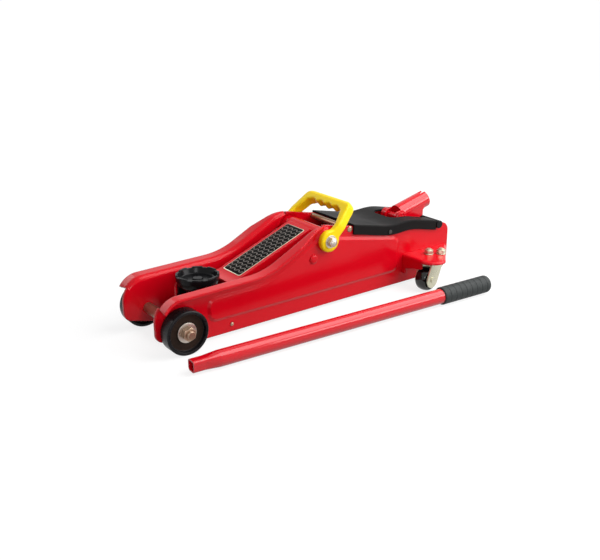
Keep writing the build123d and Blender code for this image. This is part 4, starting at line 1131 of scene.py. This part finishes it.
def seen_rays(tree):
    """Mask that is 1 for what the camera sees directly, in gloss or through glass."""
    rays = add(tree, "ShaderNodeLightPath").outputs
    seen = rays["Is Camera Ray"]
    for kind in ("Is Glossy Ray", "Is Transmission Ray"):
        seen = add(tree, "ShaderNodeMath", {0: seen, 1: rays[kind]}, operation="MAXIMUM").outputs[0]
    return seen


def paper_sweep():
    """White paper: matt, keeps soft shadows, and glows to white where it is only seen."""
    near_glow, far_glow = 0.8, 0.93
    glow_from, glow_to = 0.5, 1.6
    paper = bpy.data.materials.new("White_paper_sweep")
    paper.use_nodes = True
    tree = paper.node_tree
    tree.nodes.clear()
    matt = add(tree, "ShaderNodeBsdfDiffuse", {"Color": linear("808080")})
    # The lamps' light falls off across the sweep, so its own glow rises to keep it white
    place = add(tree, "ShaderNodeTexCoord").outputs["Object"]
    away = add(tree, "ShaderNodeVectorMath", {0: place}, operation="LENGTH")
    rise = add(tree, "ShaderNodeMapRange", {
        "Value": away.outputs["Value"],
        "From Min": glow_from, "From Max": glow_to,
        "To Min": near_glow, "To Max": far_glow,
    })
    level = add(tree, "ShaderNodeMath", {0: seen_rays(tree), 1: rise.outputs["Result"]}, operation="MULTIPLY")
    glow = add(tree, "ShaderNodeEmission", {"Strength": level.outputs[0]})
    both = add(tree, "ShaderNodeAddShader", {0: matt.outputs[0], 1: glow.outputs[0]})
    add(tree, "ShaderNodeOutputMaterial", {"Surface": both.outputs[0]})
    return paper


def studio_world():
    """White studio that lights the jack softly and shows as plain white."""
    soft_light, white = 0.4, 1.0
    world = bpy.data.worlds.new("Studio")
    world.use_nodes = True
    tree = world.node_tree
    tree.nodes.clear()
    level = add(tree, "ShaderNodeMapRange", {"Value": seen_rays(tree), "To Min": soft_light, "To Max": white})
    sky = add(tree, "ShaderNodeBackground", {"Color": linear("FFFFFF"), "Strength": level.outputs["Result"]})
    add(tree, "ShaderNodeOutputWorld", {"Surface": sky.outputs[0]})
    return world


def softbox(name, at, aim, size, power):
    """Rectangular lamp that faces a point, its long side along the jack, in metres and watts."""
    light = bpy.data.lights.new(name, "AREA")
    light.shape = "RECTANGLE"
    light.size, light.size_y = size
    light.energy = power
    back = (at - aim).normalized()
    along = (Vector((1, 0, 0)) - back * back.x).normalized()
    turn = Matrix((along, back.cross(along), back)).transposed().to_4x4()
    lamp = helper(name, light)
    lamp.matrix_world = Matrix.Translation(at) @ turn


def photo_camera():
    """Camera at the photograph's place, turned about the vertical and then tipped down."""
    sensor_width = 36.0
    frame_width, focal_length = 600.0, 844.46
    yaw = math.radians(37.0945)
    pitch = math.radians(20.572)
    lens = bpy.data.cameras.new("photo_camera")
    lens.sensor_fit = "HORIZONTAL"
    lens.sensor_width = sensor_width
    lens.lens = sensor_width * focal_length / frame_width
    lens.clip_end = 100.0
    level_way = Vector((math.sin(yaw), math.cos(yaw), 0))
    right = Vector((math.cos(yaw), -math.sin(yaw), 0))
    forward = level_way * math.cos(pitch) - Vector((0, 0, 1)) * math.sin(pitch)
    turn = Matrix((right, right.cross(forward), -forward)).transposed().to_4x4()
    camera = helper("photo_camera", lens)
    camera.matrix_world = Matrix.Translation(spot(-506.94, -990.86, 499.19)) @ turn
    return camera


class JACK_OT_stage(bpy.types.Operator):
    """Pale floor, soft studio light and the camera"""
    bl_idname = "jack.stage"
    bl_label = "Stage"

    def execute(self, context):
        scene = context.scene
        reach = 30.0
        sheet = bpy.data.meshes.new("floor")
        corners = [(-reach, -reach, 0), (reach, -reach, 0), (reach, reach, 0), (-reach, reach, 0)]
        sheet.from_pydata(corners, [], [(0, 1, 2, 3)])
        sheet.materials.append(paper_sweep())
        floor = helper("floor", sheet)
        scene.world = studio_world()
        aim = spot(240, 0, 60)
        softbox("overhead_softbox", spot(930, -480, 1000), aim, (1.5, 1.1), 22.0)
        softbox("side_softbox", spot(1475, -1500, 700), aim, (1.25, 0.45), 13.0)
        softbox("front_softbox", spot(-500, -1400, 600), aim, (0.36, 0.3), 5.0)
        softbox("rear_softbox", spot(-300, 1400, 900), aim, (1.2, 0.5), 4.0)
        scene.camera = photo_camera()
        scene.view_settings.view_transform = "Standard"
        return {"FINISHED"}


STEPS = (
    JACK_OT_finishes,
    JACK_OT_front_wheels,
    JACK_OT_front_axle,
    JACK_OT_pivot_ends,
    JACK_OT_rivets,
    JACK_OT_saddle,
    JACK_OT_arm_panel,
    JACK_OT_carry_handle,
    JACK_OT_grip,
    JACK_OT_springs,
    JACK_OT_caster_nuts,
    JACK_OT_caster_wheels,
    JACK_OT_stage,
)


class JACK_PT_looks(bpy.types.Panel):
    """Lists the jack's pieces and their settings"""
    bl_idname = "JACK_PT_looks"
    bl_label = "Trolley jack"
    bl_space_type = "VIEW_3D"
    bl_region_type = "UI"
    bl_category = "Jack"

    def draw(self, context):
        layout = self.layout
        for settings in (context.scene.jack_colours, context.scene.jack_sizes):
            box = layout.box()
            for key in settings.__annotations__:
                box.prop(settings, key)
        for step in STEPS:
            layout.operator(step.bl_idname)


CLASSES = (JackColours, JackSizes) + STEPS + (JACK_PT_looks,)


def register():
    for each in CLASSES:
        bpy.utils.register_class(each)
    bpy.types.Scene.jack_colours = bpy.props.PointerProperty(type=JackColours)
    bpy.types.Scene.jack_sizes = bpy.props.PointerProperty(type=JackSizes)


def unregister():
    del bpy.types.Scene.jack_sizes
    del bpy.types.Scene.jack_colours
    for each in reversed(CLASSES):
        bpy.utils.unregister_class(each)


def main():
    register()
    for step in STEPS:
        area, name = step.bl_idname.split(".")
        getattr(getattr(bpy.ops, area), name)()


if __name__ == "__main__":
    main()
